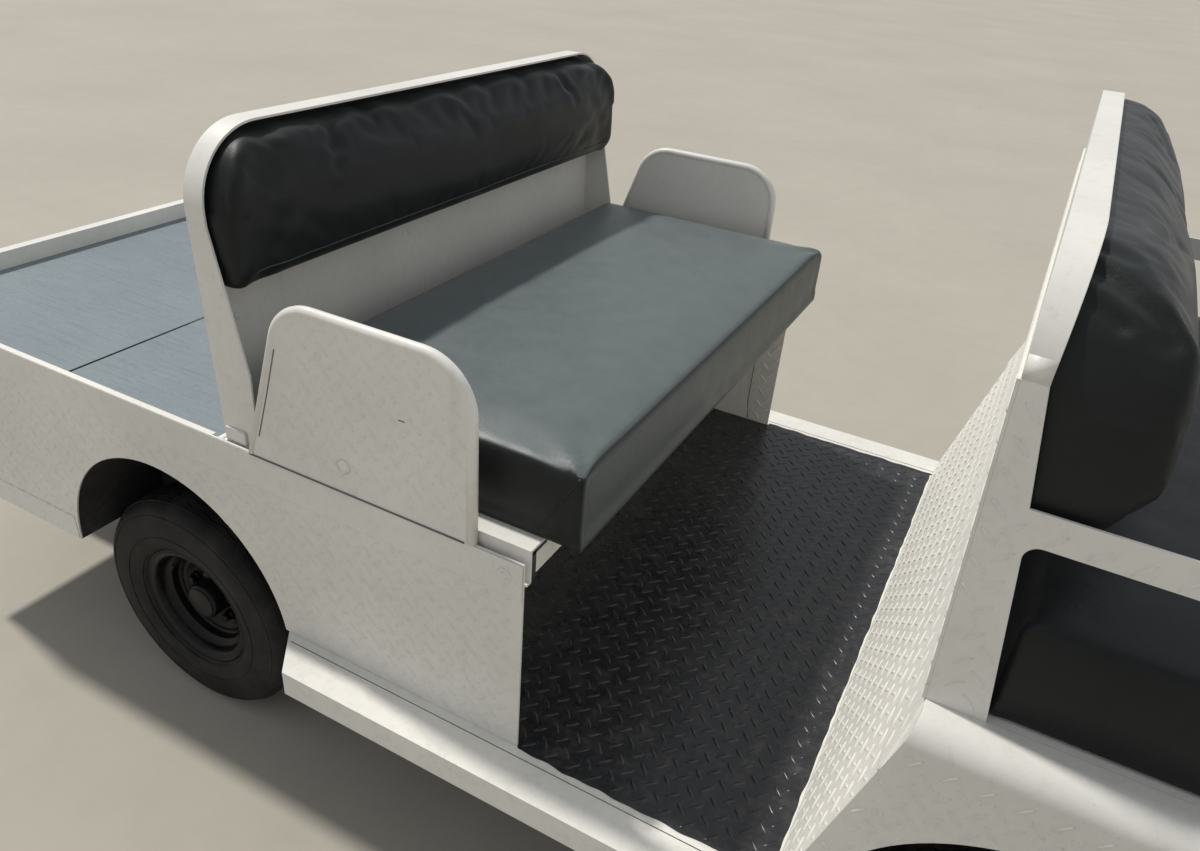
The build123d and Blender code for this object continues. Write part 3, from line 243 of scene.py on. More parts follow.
def paint(name, colour, dirt, rough, grime=0.35, chips=0.72, peel=0.10, gloss=0.45):
    """Paint over steel, with mottle, grime that gathers low, and small chips."""
    shade = Shade(name, Specular_IOR_Level=gloss)
    broad, fine = shade.noise(3.1, 5), shade.noise(46, 6, 0.65)
    base = shade.over(colour, scaled(colour, 0.87), broad, 0.35, 0.7)
    lower = shade.span(shade.axis("Z"), 0.25, 0.75, 1.0, 0.3)
    soil = shade.math("MULTIPLY", shade.span(fine, 0.50, 0.86, 0, grime), lower)
    base = shade.mix(soil, base, dirt)
    drips = shade.noise(9, 4, 0.6, shade.stretch(3.0, 3.0, 0.35))
    base = shade.over(base, dirt, drips, 0.60, 0.80, grime * 0.5)
    smut = shade.noise(88, 5, 0.72, shade.stretch(1.0, 1.0, 0.75))
    base = shade.over(base, dirt, smut, 0.53, 0.76, grime * 0.75)
    specks = shade.span(shade.noise(310, 3, 0.6), chips, chips + 0.03)
    chip = shade.math("MULTIPLY", specks, shade.span(broad, 0.48, 0.60))
    base = shade.mix(chip, base, scaled(dirt, 0.3))
    orange_peel, brushed, dents = shade.noise(420, 2), shade.noise(34, 3, 0.5), shade.noise(5.5, 2)
    shade.relief(
        (orange_peel, peel, 0.0006), (brushed, 0.22, 0.0016), (dents, 0.25, 0.004), (chip, -0.6, 0.0004),
        normal=shade.soft(0.0013),
    )
    return shade.surface(base, fine, 0.3, 0.75, rough, rough + 0.18)


def vinyl(name, dust):
    """Black grained vinyl, lighter where it faces upward and a little in front: painted sheen and painted
    reflection, partly dust.
    """
    shade = Shade(name, Sheen_Weight=0.04, Sheen_Roughness=0.45)
    facing = shade.tree.nodes.new("ShaderNodeTexCoord").outputs["Normal"]
    normal = shade.node("SeparateXYZ", {0: facing})
    # Painted sheen and painted reflection, partly dust: upward faces, and a little the forward faces, get a
    # lighter colour, scaled by dust.
    ahead = shade.span(normal.outputs["X"], 0.6, 0.95, 0, 0.42)
    sheen_and_dust_mask = shade.math("MAXIMUM", shade.span(normal.outputs["Z"], 0.72, 0.98), ahead)
    sheen_and_dust_mask = shade.math("MULTIPLY", sheen_and_dust_mask, dust)
    bloom = shade.noise(22, 6, 0.7)
    base = shade.over((0.006, 0.0069, 0.0072), (0.011, 0.0128, 0.0130), shade.noise(4.5, 5), 0.3, 0.75)
    base = shade.over(base, (0.04, 0.044, 0.043), bloom, 0.55, 0.95, 0.25)
    # The lighter top colour: painted sheen, partly dust.
    top = shade.over((0.100, 0.121, 0.124), (0.126, 0.150, 0.152), bloom, 0.3, 0.8)
    shade.put("Specular IOR Level", shade.span(sheen_and_dust_mask, 0.0, 0.5, 0.26, 0.42))
    shade.relief(
        (shade.cells(620, "SMOOTH_F1"), 0.24, 0.0005), (shade.noise(130, 4), 0.16, 0.0012),
        (shade.noise(13, 2, 0.4), 0.35, 0.006),
    )
    return shade.surface(shade.mix(sheen_and_dust_mask, base, top), bloom, 0.3, 0.8, 0.38, 0.54)


def deck_paint():
    """Blue-grey deck paint, through which the board's fine grain shows."""
    shade = Shade("deck_paint", Specular_IOR_Level=0.4)
    grain = shade.noise(1.7, 8, 0.7, shade.stretch(5.0, 90.0, 20.0))
    fleck = shade.noise(105, 6, 0.75, shade.stretch(1.0, 1.7, 1.0))
    scuff = shade.noise(14, 7, 0.75, shade.stretch(1.0, 2.2, 1.0))
    base = shade.over((0.165, 0.204, 0.232), (0.220, 0.262, 0.285), shade.noise(2.4, 5), 0.3, 0.7)
    base = shade.over(base, (0.075, 0.09, 0.11), grain, 0.50, 0.78, 0.55)
    base = shade.over(base, (0.088, 0.112, 0.128), fleck, 0.50, 0.72, 0.42)
    base = shade.over(base, (0.36, 0.38, 0.39), scuff, 0.62, 0.80, 0.4)
    shade.relief((grain, 0.35, 0.0012), (shade.noise(260, 3), 0.12, 0.0006))
    return shade.surface(base, scuff, 0.3, 0.8, 0.42, 0.66)


def rubber():
    """Black tyre rubber, browned and dusty in patches."""
    shade = Shade("tyre_rubber", Specular_IOR_Level=0.3)
    dust = shade.noise(16, 7, 0.7)
    base = shade.over((0.010, 0.010, 0.0105), (0.064, 0.059, 0.052), dust, 0.42, 0.82, 0.75)
    shade.relief((shade.noise(300, 3), 0.3, 0.0007), (shade.noise(40, 3), 0.15, 0.002))
    return shade.surface(base, dust, 0.3, 0.8, 0.62, 0.9)


def moulded(name, colour, rough):
    """Moulded plastic with a fine spark-eroded texture."""
    shade = Shade(name, Specular_IOR_Level=0.45)
    broad = shade.noise(9, 4)
    shade.relief((shade.noise(380, 2), 0.22, 0.0005))
    base = shade.over(colour, scaled(colour, 1.5), broad, 0.3, 0.7)
    return shade.surface(base, broad, 0.3, 0.7, rough, rough + 0.14)


def lens(name, colour, weight):
    """A moulded lens with fine upright flutes."""
    shade = Shade(name, Transmission_Weight=weight, IOR=1.49, Specular_IOR_Level=0.6)
    broad = shade.noise(30, 3)
    values = {"Vector": shade.place, "Scale": 34.0, "Distortion": 0.0}
    flutes = shade.node("TexWave", values, bands_direction="Y").outputs[1]
    shade.relief((flutes, 0.4, 0.0014))
    base = shade.over(colour, scaled(colour, 0.8), broad, 0.3, 0.7, 0.5)
    return shade.surface(base, broad, 0.3, 0.7, 0.06, 0.14)


def bright_metal(name, colour, rough):
    """Plated or bare metal, a little dulled."""
    shade = Shade(name, Metallic=1.0)
    dull = shade.noise(60, 6, 0.7)
    shade.relief((shade.noise(300, 2), 0.1, 0.0004))
    base = shade.over(colour, scaled(colour, 0.6), dull, 0.4, 0.8)
    return shade.surface(base, dull, 0.3, 0.8, rough, rough + 0.25)


def pale_floor():
    """A plain pale floor with a faint mottle."""
    shade = Shade("floor_pale", Specular_IOR_Level=0.25, Roughness=0.85)
    fine = shade.noise(9, 8, 0.7)
    base = shade.over((0.445, 0.415, 0.360), (0.405, 0.378, 0.326), shade.noise(0.8, 5), 0.3, 0.7)
    shade.put("Base Color", shade.over(base, (0.345, 0.322, 0.278), fine, 0.45, 0.8, 0.3))
    shade.relief((fine, 0.12, 0.004))
    return shade.material


# Each paint as (colour, dirt, roughness, grime, chips, orange peel, gloss)
PAINTS = {
    "white_paint": ((0.80, 0.785, 0.74), (0.42, 0.38, 0.31), 0.36),
    "black_floor": ((0.024, 0.025, 0.028), (0.15, 0.145, 0.135), 0.22, 0.45, 0.70, 0.16),
    "black_steel": ((0.030, 0.030, 0.032), (0.15, 0.13, 0.11), 0.46, 0.5, 0.70, 0.2),
    "axle_iron": ((0.06, 0.058, 0.055), (0.19, 0.14, 0.10), 0.55, 0.6, 0.66, 0.3),
    "wheel_black": ((0.0045, 0.0045, 0.005), (0.05, 0.047, 0.043), 0.24, 0.16, 0.80, 0.10, 0.22),
}
MATERIALS = {
    "deck_paint": deck_paint(),
    "black_vinyl": vinyl("black_vinyl", 1.0),
    "tyre_rubber": rubber(),
    "battery_case": moulded("battery_case", (0.035, 0.035, 0.037), 0.5),
    "black_plastic": moulded("black_plastic", (0.022, 0.022, 0.023), 0.38),
    "lamp_glass": lens("lamp_glass", (0.86, 0.88, 0.88), 0.55),
    "lamp_red": lens("lamp_red", (0.42, 0.012, 0.010), 0.25),
    **{name: paint(name, *values) for name, values in PAINTS.items()},
}
# Painted shade: a shaded copy of the vinyl with little painted sheen on its upward faces, for the back pads
# and the front cushion.
SHADED_VINYL = vinyl("black_vinyl_shaded", 0.12)
# Painted shade: dark paint for thin lines that stand in for the shadow in joints, grooves and dents.
SEAM_SHADOW = paint("seam_shadow", (0.17, 0.165, 0.165), (0.08, 0.072, 0.065), 0.6)
DIAL = moulded("dial_face", (0.75, 0.75, 0.72), 0.35)
ZINC = bright_metal("zinc", (0.56, 0.55, 0.52), 0.32)
CHROME = bright_metal("chrome", (0.78, 0.79, 0.80), 0.10)

for part in frame["record"]["subparts"]:
    node = NODES[part["node"]]
    node.data.materials.clear()
    node.data.materials.append(MATERIALS[part["material_slot"]])


# Mesh helpers


def dress(mesh, material):
    """Gives a mesh one material and smooth shading."""
    mesh.materials.clear()
    mesh.materials.append(material)
    mesh.polygons.foreach_set("use_smooth", [True] * len(mesh.polygons))


@contextmanager
def edited(mesh):
    """A mesh opened for changes, and written back after them."""
    work = bmesh.new()
    work.from_mesh(mesh)
    yield work
    work.to_mesh(mesh)
    work.free()


def mesh_of(name, corners, faces):
    """A mesh from corners and faces, with its normals turned outward."""
    mesh = bpy.data.meshes.new(name)
    mesh.from_pydata([tuple(c) for c in corners], [], faces)
    with edited(mesh) as work:
        bmesh.ops.recalc_face_normals(work, faces=work.faces)
    return mesh


def lofted(rows, count, rows_close=False, row_closes=True):
    """Faces between rows of corners, with as many corners in each row."""
    faces = []
    for row in range(rows if rows_close else rows - 1):
        start, after = row * count, (row + 1) % rows * count
        for low in range(count if row_closes else count - 1):
            high = (low + 1) % count
            faces.append([start + low, start + high, after + high, after + low])
    return faces


def prism(outline, low_y, high_y):
    """Corners and faces of a plate with an outline in X and Z, between two Y."""
    count = len(outline)
    corners = [(x, y, z) for y in (low_y, high_y) for x, z in outline]
    return corners, [list(range(count)), list(range(count, 2 * count))] + lofted(2, count)


def round_points(count, radius=1.0, start=0.0):
    """Evenly spaced (cosine, sine) points of a circle."""
    turns = [start + 2 * math.pi * index / count for index in range(count)]
    return [(radius * math.cos(turn), radius * math.sin(turn)) for turn in turns]


class Joined:
    """Gathers many small forms into one piece."""

    def __init__(self):
        self.corners = []
        self.faces = []

    def add(self, corners, faces):
        """Adds a form's corners and its faces."""
        start = len(self.corners)
        self.corners += [Vector(c) for c in corners]
        self.faces += [[start + index for index in face] for face in faces]

    def rounded_box(self, centre, size, turn=None, edge=0.15):
        """A box with its edges cut, about a centre and turned by a matrix."""
        turn = turn or Matrix.Identity(3)
        work = bmesh.new()
        bmesh.ops.create_cube(work, size=1.0)
        for vert in work.verts:
            vert.co = Vector([c * s for c, s in zip(vert.co, size)])
        bmesh.ops.bevel(work, geom=work.edges[:], offset=min(size) * edge, segments=2, affect="EDGES")
        work.verts.ensure_lookup_table()
        self.add(
            [Vector(centre) + turn @ v.co for v in work.verts],
            [[v.index for v in f.verts] for f in work.faces],
        )
        work.free()

    def strip(self, x0, x1, y0, y1, z0, z1, edge=0.15):
        """A thin plate between two corners, its edges cut."""
        centre = ((x0 + x1) / 2, (y0 + y1) / 2, (z0 + z1) / 2)
        self.rounded_box(centre, (abs(x1 - x0), abs(y1 - y0), abs(z1 - z0)), None, edge)

    def lathe(self, outline, centre, axis, segments=24):
        """A turned form from (radius, height) points about an axis through a centre."""
        centre, axis = Vector(centre), Vector(axis).normalized()
        side = axis.orthogonal().normalized()
        other = axis.cross(side)
        corners = []
        for across, beside in round_points(segments):
            out = side * across + other * beside
            corners += [centre + axis * h + out * r for r, h in outline]
        self.add(corners, lofted(segments, len(outline), True, False))

    def tube(self, points, radius, sides=8, closed=False):
        """A round tube through points."""
        points = [Vector(p) for p in points]
        count = len(points)
        corners = []
        across = None
        for index, point in enumerate(points):
            ahead = points[(index + 1) % count] if closed or index < count - 1 else point
            behind = points[index - 1] if closed or index > 0 else point
            run = (ahead - behind).normalized()
            across = across or run.orthogonal().normalized()
            across = (across - run * across.dot(run)).normalized()
            other = run.cross(across)
            corners += [point + (across * u + other * v) * radius for u, v in round_points(sides)]
        faces = lofted(count, sides, closed)
        if not closed:
            faces += [list(range(sides)), [(count - 1) * sides + step for step in range(sides)]]
        self.add(corners, faces)

    def screw(self, spot, axis, radius=0.0055):
        """A domed screw head on its washer."""
        self.lathe([
            (radius * 1.7, -0.0003), (radius * 1.7, 0.0008), (radius, 0.001),
            (radius * 0.85, radius * 0.4), (radius * 0.45, radius * 0.58), (0.0, radius * 0.62),
        ], spot, axis, 14)

    def finish(self, name, slot="white_paint", material=None, angle=35, body="carrier"):
        """Makes the joined form a piece on a body, sharp at edges past the angle if one is given."""
        mesh = mesh_of(name, self.corners, self.faces)
        made = linked(name, mesh)
        dress(mesh, material or MATERIALS[slot])
        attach(made, body)
        if angle:
            mesh.set_sharp_from_angle(angle=math.radians(angle))
        return made


def surface_of(*names):
    """A search tree over CAD nodes or pieces."""
    corners, faces = [], []
    for name in names:
        source = NODES[name] if isinstance(name, str) else name
        start = len(corners)
        corners += [source.matrix_world @ v.co for v in source.data.vertices]
        faces += [[start + v for v in p.vertices] for p in source.data.polygons]
    return BVHTree.FromPolygons(corners, faces)


def bent_path(points, radii, steps=8):
    """A path through points with its inner corners rounded."""
    points = [Vector(p) for p in points]
    path = [points[0]]
    for before, corner, after, radius in zip(points, points[1:], points[2:], radii):
        into, out = (before - corner).normalized(), (after - corner).normalized()
        half = into.angle(out) / 2
        reach = radius / math.tan(half)
        centre = corner + (into + out).normalized() * radius / math.sin(half)
        start = (corner + into * reach - centre).normalized()
        end = (corner + out * reach - centre).normalized()
        for step in range(steps + 1):
            path.append(centre + start.slerp(end, step / steps) * radius)
    path.append(points[-1])
    return path


# Raised lugs of the tread plate

LUG_RUN, LUG_RISE = 0.034, 0.031
LUG_LENGTH, LUG_WIDTH, LUG_HEIGHT = 0.0240, 0.0058, 0.0012
LUG_PROBES = ((1.04, 0), (-1.04, 0), (0, 1.2), (0, -1.2))
PROBE_RISE = 0.01


def lug_form():
    """One lug as a low dome with pointed ends, in its own (length, width, height)."""
    half = [(-1, 0), (-0.72, -0.66), (-0.28, -1), (0.28, -1), (0.72, -0.66)]
    ring = half + [(-x, -y) for x, y in half]
    corners = [(x * LUG_LENGTH / 2, y * LUG_WIDTH / 2, -0.0002) for x, y in ring]
    corners += [(x * LUG_LENGTH * 0.4, y * LUG_WIDTH * 0.27, LUG_HEIGHT) for x, y in ring]
    count = len(ring)
    return corners, lofted(2, count) + [[count + i for i in range(count)]]


LUG_CORNERS, LUG_FACES = lug_form()


def on_sheet(tree, spot, normal):
    """Whether a spot lies on a flat face that looks along the normal."""
    hit = tree.ray_cast(spot + normal * PROBE_RISE, -normal, 2 * PROBE_RISE)
    return hit[0] is not None and abs(hit[3] - PROBE_RISE) <= 0.0006 and hit[1].dot(normal) >= 0.999


def tread(joined, tree, origin, along, across, length, width, skip=None):
    """Adds two crossed sets of lugs on a flat sheet, wherever a whole lug fits on it."""
    origin, along, across = Vector(origin), Vector(along).normalized(), Vector(across).normalized()
    normal = along.cross(across)
    for column in range(int(length / LUG_RUN) + 1):
        for row in range(int(width / LUG_RISE) + 1):
            for shift, lean in ((0.0, 1), (0.5, -1)):
                centre = origin + along * (column + shift) * LUG_RUN + across * (row + shift) * LUG_RISE
                if skip and skip(centre):
                    continue
                run = (along + across * lean).normalized()
                side = normal.cross(run)
                ends = [centre + run * a * LUG_LENGTH / 2 + side * b * LUG_WIDTH / 2 for a, b in LUG_PROBES]
                if all(on_sheet(tree, end, normal) for end in ends):
                    corners = [centre + run * x + side * y + normal * z for x, y, z in LUG_CORNERS]
                    joined.add(corners, LUG_FACES)


def on_rear_band(spot):
    """Where the smooth upper band of a rear panel keeps lugs off."""
    return spot.z > BAND_Z - 0.012


def on_armrest_edge(spot):
    """Where the foot and the joint line of an armrest keep lugs off."""
    return spot.z < RAIL_Z + 0.020 or spot.x < -0.350 - (0.838 - spot.z) * 0.331


def side_treads(side_name, side):
    """Lugs on one side's rear panel, armrest, front panel, front seat plate and backrest rim."""
    # Each as (label, node, half width, lowest height, rise, where lugs are left off)
    for label, node, half, low_z, rise, skip in (
        ("rear_panel", f"rear_side_panel_{side_name}", BODY_HALF, SKIRT_Z, 0.36, on_rear_band),
        ("front_panel", f"front_side_panel_{side_name}", FRONT_HALF, FRONT_SKIRT_Z, 0.63, None),
        ("front_seat", "front_seat_sides", SEAT_HALF, LEDGE_Z, 0.36, None),
        ("armrest", "armrests", ARM_HALF, RAIL_Z, 0.26, on_armrest_edge),
        ("front_rim", "front_back_shell", BOX["front_back_shell"][1].y, LEDGE_Z, 0.46, None),
    ):
        low, high = BOX[node]
        start = (low.x if side < 0 else high.x, side * half, low_z)
        lugs = Joined()
        tread(lugs, surface_of(node), start, X_AXIS * -side, Z_AXIS, high.x - low.x, rise, skip)
        lugs.finish(f"lugs_{label}_{side_name}", angle=0)


def by_floor_seam(spot):
    """Where the joint of the middle floor keeps lugs off."""
    return abs(spot.y - 0.339) < 0.012 and spot.x < 0.140


def sheet_treads():
    """Lugs on the sheets that cross the vehicle."""
    lap = Vector((TOE_FOOT_X, 0, FLOOR_Z)) + TOE_SLOPE * (TOE_LAP_Z - FLOOR_Z) / TOE_SLOPE.z
    # Each field as (origin, along, across, length, width)
    for label, node, fields in (
        ("rear_end", "rear_end_panel", [((BODY_REAR, 0.515, SKIRT_Z), -Y_AXIS, Z_AXIS, 1.03, 0.33)]),
        ("riser", "under_seat_riser", [((RISER_X, -0.505, FLOOR_Z), Y_AXIS, Z_AXIS, 1.0, 0.31)]),
        ("toe_board", "toe_board", [
            ((TOE_FOOT_X + 0.003, 0.545, FLOOR_Z), -Y_AXIS, TOE_SLOPE, 1.09, 0.34),
            ((lap.x, 0.545, lap.z), -Y_AXIS, TOE_SLOPE, 1.09, 0.07),
            ((0.455, 0.505, LEDGE_Z), -Y_AXIS, (-0.018, 0, 0.458), 1.01, 0.34),
        ]),
        ("cowl", "cowl", [((COWL_FOOT_X, -0.545, FRONT_SKIRT_Z), Y_AXIS, COWL_SLOPE, 1.09, 0.65)]),
    ):
        lugs, tree = Joined(), surface_of(node)
        for field in fields:
            tread(lugs, tree, *field)
        lugs.finish(f"lugs_{label}", angle=0)
    for label, node, low_x, half, top, skip in (
        ("floor", "footwell_floor", RISER_X + 0.004, BODY_HALF, FLOOR_Z, by_floor_seam),
        ("front_floor", "front_floor", 0.957, FRONT_HALF - 0.003, FLOOR_Z + 0.038, None),
    ):
        lugs = Joined()
        field = ((low_x, -half + 0.01, top), X_AXIS, Y_AXIS, BOX[node][1].x - low_x, 2 * half - 0.02)
        tread(lugs, surface_of(node), *field, skip)
        lugs.finish(f"lugs_{label}", "black_floor", angle=0)


# Cushions

CLOTH = {
    "quality": 4, "mass": 0.3, "tension_stiffness": 14, "compression_stiffness": 14,
    "shear_stiffness": 5, "use_pressure": True, "vertex_group_mass": "seams",
}


def cushion(name, node, shrink, cap, kind, after, cover):
    """A stuffed cover: the CAD solid's form, its seams held, blown up a little as cloth."""
    swell, pinned, slack, voxel, stiff = kind
    low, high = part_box(node)
    centre, size = (low + high) / 2, high - low
    mesh = NODES[node].data.copy()
    mesh.name = name
    made = linked(name, mesh)
    with edited(mesh) as work:
        bmesh.ops.remove_doubles(work, verts=work.verts, dist=0.00005)
        for vert in work.verts:
            offset = vert.co - centre
            vert.co = centre + Vector([offset[i] * (1 - 2 * shrink / size[i]) for i in range(3)])
    remesh = made.modifiers.new("remesh", "REMESH")
    remesh.mode = "VOXEL"
    remesh.voxel_size = voxel
    bpy.context.view_layer.update()
    mesh = applied(made)
    smooth_over(mesh, 3)
    rest = [v.co.copy() for v in mesh.vertices]
    group = made.vertex_groups.new(name="seams")
    for index, co in enumerate(rest):
        weight = pinned(co, low, high)
        if weight > 0:
            group.add([index], weight, "REPLACE")
    cloth = made.modifiers.new("cloth", "CLOTH")
    for setting, value in CLOTH.items():
        setattr(cloth.settings, setting, value)
    cloth.settings.bending_stiffness = stiff
    cloth.settings.uniform_pressure_force = swell
    cloth.settings.shrink_min = slack
    cloth.settings.effector_weights.gravity = 0
    cloth.collision_settings.use_collision = False
    for step in range(1, 21):
        SCENE.frame_set(step)
    mesh = applied(made)
    for vert, start in zip(mesh.vertices, rest):
        moved = vert.co - start
        if moved.length > cap:
            moved *= cap / moved.length
        vert.co = start + moved
    SCENE.frame_set(1)
    smooth_over(mesh, 2)
    made.vertex_groups.clear()
    after(mesh, low, high)
    for vert in mesh.vertices:
        vert.co.z = max(vert.co.z, low.z + 0.0003)
    dress(mesh, cover)
    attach(made, "carrier")
    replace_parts(made, node)
    return made


def applied(made):
    """An object's mesh with its modifiers applied and taken off."""
    graph = bpy.context.evaluated_depsgraph_get()
    made_mesh = bpy.data.meshes.new_from_object(made.evaluated_get(graph))
    made.modifiers.clear()
    made.data = made_mesh
    return made_mesh


def smooth_over(mesh, rounds):
    """Evens a mesh out a little."""
    axes = {f"use_axis_{axis}": True for axis in "xyz"}
    with edited(mesh) as work:
        for _ in range(rounds):
            bmesh.ops.smooth_vert(work, verts=work.verts, factor=0.5, **axes)


def box_seams(co, low, high):
    """Holds a box cushion's edges and its resting face."""
    edges = sum(1 for i in range(3) if min(co[i] - low[i], high[i] - co[i]) < 0.012)
    if co.z < low.z + 0.012:
        return 1.0
    return 0.85 if edges >= 2 else 0.0


def back_seams(co, low, high):
    """Holds a back pad's rear face and its bottom edge."""
    held = co.x < low.x + (high.x - low.x) * 0.22 or co.z < low.z + 0.014
    return 1.0 if held else 0.0


def squared(mesh, low, high, reach=0.024):
    """Brings a box cushion's lower and upright edges back out to its corners."""
    middle_spot = (low + high) / 2
    for vert in mesh.vertices:
        co = vert.co
        inset = [
            reach - min(co.x - low.x, high.x - co.x), reach - min(co.y - low.y, high.y - co.y),
            reach - (co.z - low.z),
        ]
        for first, second, share in ((0, 2, 1.0), (1, 2, 1.0), (0, 1, 0.85)):
            a, b = inset[first], inset[second]
            if a <= 0 or b <= 0:
                continue
            grow = (math.hypot(a, b) / max(a, b)) ** share
            inset[first], inset[second] = min(a * grow, reach), min(b * grow, reach)
        for axis in (0, 1):
            if inset[axis] > 0:
                out = 1 if co[axis] > middle_spot[axis] else -1
                edge = high[axis] if out > 0 else low[axis]
                co[axis] = edge - out * (reach - inset[axis])
        if inset[2] > 0:
            co.z = low.z + reach - inset[2]


def crown(height, pinch):
    """A low rise over a cushion's middle, and the gathered top corners of its cover."""
    def shape(mesh, low, high):
        squared(mesh, low, high)
        for vert in mesh.vertices:
            u = (2 * vert.co.x - low.x - high.x) / (high.x - low.x)
            v = (2 * vert.co.y - low.y - high.y) / (high.y - low.y)
            lift = max(0.0, 1 - abs(u) ** 2.6) * max(0.0, 1 - abs(v) ** 6)
            share = max(0.0, (vert.co.z - low.z) / (high.z - low.z)) ** 2
            vert.co.z += height * lift * share
            aside = Vector((high.x - vert.co.x, min(vert.co.y - low.y, high.y - vert.co.y)))
            away = aside.length
            turn = math.atan2(aside.y, aside.x)
            pull = math.exp(-away / 0.055) * share
            vert.co.z += pinch * pull * (0.35 + math.cos(turn * 9.0))
    return shape


def rim_distance(co, low, high, radius):
    """How far a spot lies inside a back pad's outline with its two round top corners."""
    across = abs(co.y - (low.y + high.y) / 2) - ((high.y - low.y) / 2 - radius)
    rise = co.z - (high.z - radius)
    if across > 0 and rise > 0:
        return radius - math.hypot(across, rise)
    return min(radius - across, radius - rise)


def line_distance(co, points):
    """How far a spot lies from a line through points."""
    nearest = []
    for start, end in zip(points, points[1:]):
        foot, share = geometry.intersect_point_line(co, start, end)
        if 0 <= share <= 1:
            nearest.append((co - foot).length)
        else:
            nearest.append(min((co - start).length, (co - end).length))
    return min(nearest)


def gathers(radius, spacing, depth, seed, ripple, folds=()):
    """A rolled edge along a back pad's top with gathers, and folds along given lines."""
    def shape(mesh, low, high):
        normals = [vert.normal.copy() for vert in mesh.vertices]
        lines = [
            ([Vector((x, y * side, z)) for x, y, z in points], sink, width)
            for points, sink, width in folds for side in (1, -1)
        ]
        for vert, normal in zip(mesh.vertices, normals):
            co = vert.co.copy()
            front = max(0.0, min(1.0, (normal.x + 0.35) / 0.5))
            inside = rim_distance(co, low, high, radius)
            wave = noise.noise(Vector((co.y / spacing, seed, 0.5)))
            beat = abs(math.sin(math.pi * (co.y / spacing + 0.35 * wave)))
            line = 0.008 + 0.011 * (1 - beat)
            above = 1 if co.z > (low.z + high.z) / 2 else 0.4
            roll = -math.exp(-((inside - line * 0.4) / 0.008) ** 2)
            roll += (0.35 + 0.65 * beat) * math.exp(-((inside - line - 0.014) / 0.011) ** 2)
            sides = noise.noise(Vector((seed, co.y * 4, co.z * 34))) * math.exp(-inside / 0.020)
            shift = depth * front * (roll * above + ripple * sides)
            for points, sink, width in lines:
                near = line_distance(co, points)
                if near < 3.2 * width:
                    shift -= sink * math.exp(-(near / width) ** 2)
                    shift += 0.18 * sink * math.exp(-((near - 2.0 * width) / width) ** 2)
            vert.co = co + normal * shift
    return shape


BENCH_FOLDS = (
    (((-0.4604, -0.3030, 1.0520), (-0.4480, -0.3120, 1.0240), (-0.4400, -0.3240, 1.0020)), 0.0055, 0.009),
    (((-0.4400, -0.4560, 0.8900), (-0.4360, -0.4300, 0.9500), (-0.4400, -0.3900, 0.9900)), 0.0030, 0.016),
)
FRONT_FOLDS = (
    (((0.4704, -0.4291, 1.1293), (0.4822, -0.4340, 1.1307), (0.4942, -0.4378, 1.1305)), 0.0035, 0.0065),
    (
        (
            (0.4727, -0.4533, 1.1175), (0.4856, -0.4613, 1.1149), (0.5040, -0.4708, 1.1090),
            (0.5174, -0.4757, 1.1033), (0.5289, -0.4807, 1.0960), (0.5383, -0.4902, 1.0845),
        ), 0.0055, 0.0070,
    ),
    (((0.4772, -0.4780, 1.0989), (0.4889, -0.4822, 1.0925), (0.5000, -0.4865, 1.0874)), 0.0040, 0.0065),
    (((0.5180, -0.3265, 1.1198), (0.5488, -0.2293, 1.0927)), 0.0035, 0.009),
)


def laid(cover, points, way, lift=0.0006):
    """Points thrown onto a cover along a direction."""
    tree = surface_of(cover)
    way = Vector(way).normalized()
    path = []
    for point in points:
        hit = tree.ray_cast(Vector(point) - way * 0.08, way, 0.2)
        if hit[0] is not None:
            path.append(hit[0] - way * lift)
    return path


def between(start, end, count):
    """Evenly spaced points from one to another."""
    start, end = Vector(start), Vector(end)
    return [start.lerp(end, i / (count - 1)) for i in range(count)]


# Each kind of cover as (pressure, held points, slack, voxel, bending stiffness)
SEAT_KIND = (2.0, box_seams, 0.0, 0.008, 4.0)
BACK_KIND = (3.0, back_seams, -0.004, 0.006, 3.0)


def seat_goods():
    """The two seat cushions and the two back pads, each with its seams."""
    bench = cushion(
        "bench_cushion_cover", "bench_cushion", 0.003, 0.007, SEAT_KIND, crown(0.006, 0.0045),
        MATERIALS["black_vinyl"],
    )
    back = cushion(
        "bench_back_cover", "bench_back_pad", 0.003, 0.012, BACK_KIND,
        gathers(0.080, 0.105, 0.0065, 3, 0.20, BENCH_FOLDS), SHADED_VINYL,
    )
    front = cushion(
        "front_cushion_cover", "front_cushion", 0.004, 0.008, SEAT_KIND, crown(0.008, 0.002), SHADED_VINYL,
    )
    rest = cushion(
        "front_back_cover", "front_back_pad", 0.003, 0.012, BACK_KIND,
        gathers(0.110, 0.150, 0.0025, 8, 0.10, FRONT_FOLDS), SHADED_VINYL,
    )
    seams = Joined()
    low, high = BOX["bench_cushion"]
    for side, y in zip(BOTH, (low.y, high.y)):
        path = between((high.x - 0.008, y, high.z - 0.010), (high.x - 0.062, y, low.z + 0.006), 24)
        seams.tube(laid(bench, path, (0, -side, 0)), 0.0015, 6)
        path = between((low.x + 0.012, y, high.z - 0.012), (low.x + 0.050, y, low.z + 0.006), 24)
        seams.tube(laid(bench, path, (0, -side, 0)), 0.0011, 6)
    low, high = BOX["front_cushion"]
    path = between((high.x - 0.012, low.y + 0.02, high.z), (high.x - 0.012, high.y - 0.02, high.z), 60)
    seams.tube(laid(front, path, -Z_AXIS), 0.0012, 6)
    for cover, node in ((back, "bench_back_pad"), (rest, "front_back_pad")):
        low, high = BOX[node]
        path = between((high.x, low.y + 0.03, low.z + 0.022), (high.x, high.y - 0.03, low.z + 0.022), 60)
        seams.tube(laid(cover, path, -X_AXIS), 0.0011, 6)
    seams.finish("cover_seams", "black_vinyl", angle=0)


# Wheels

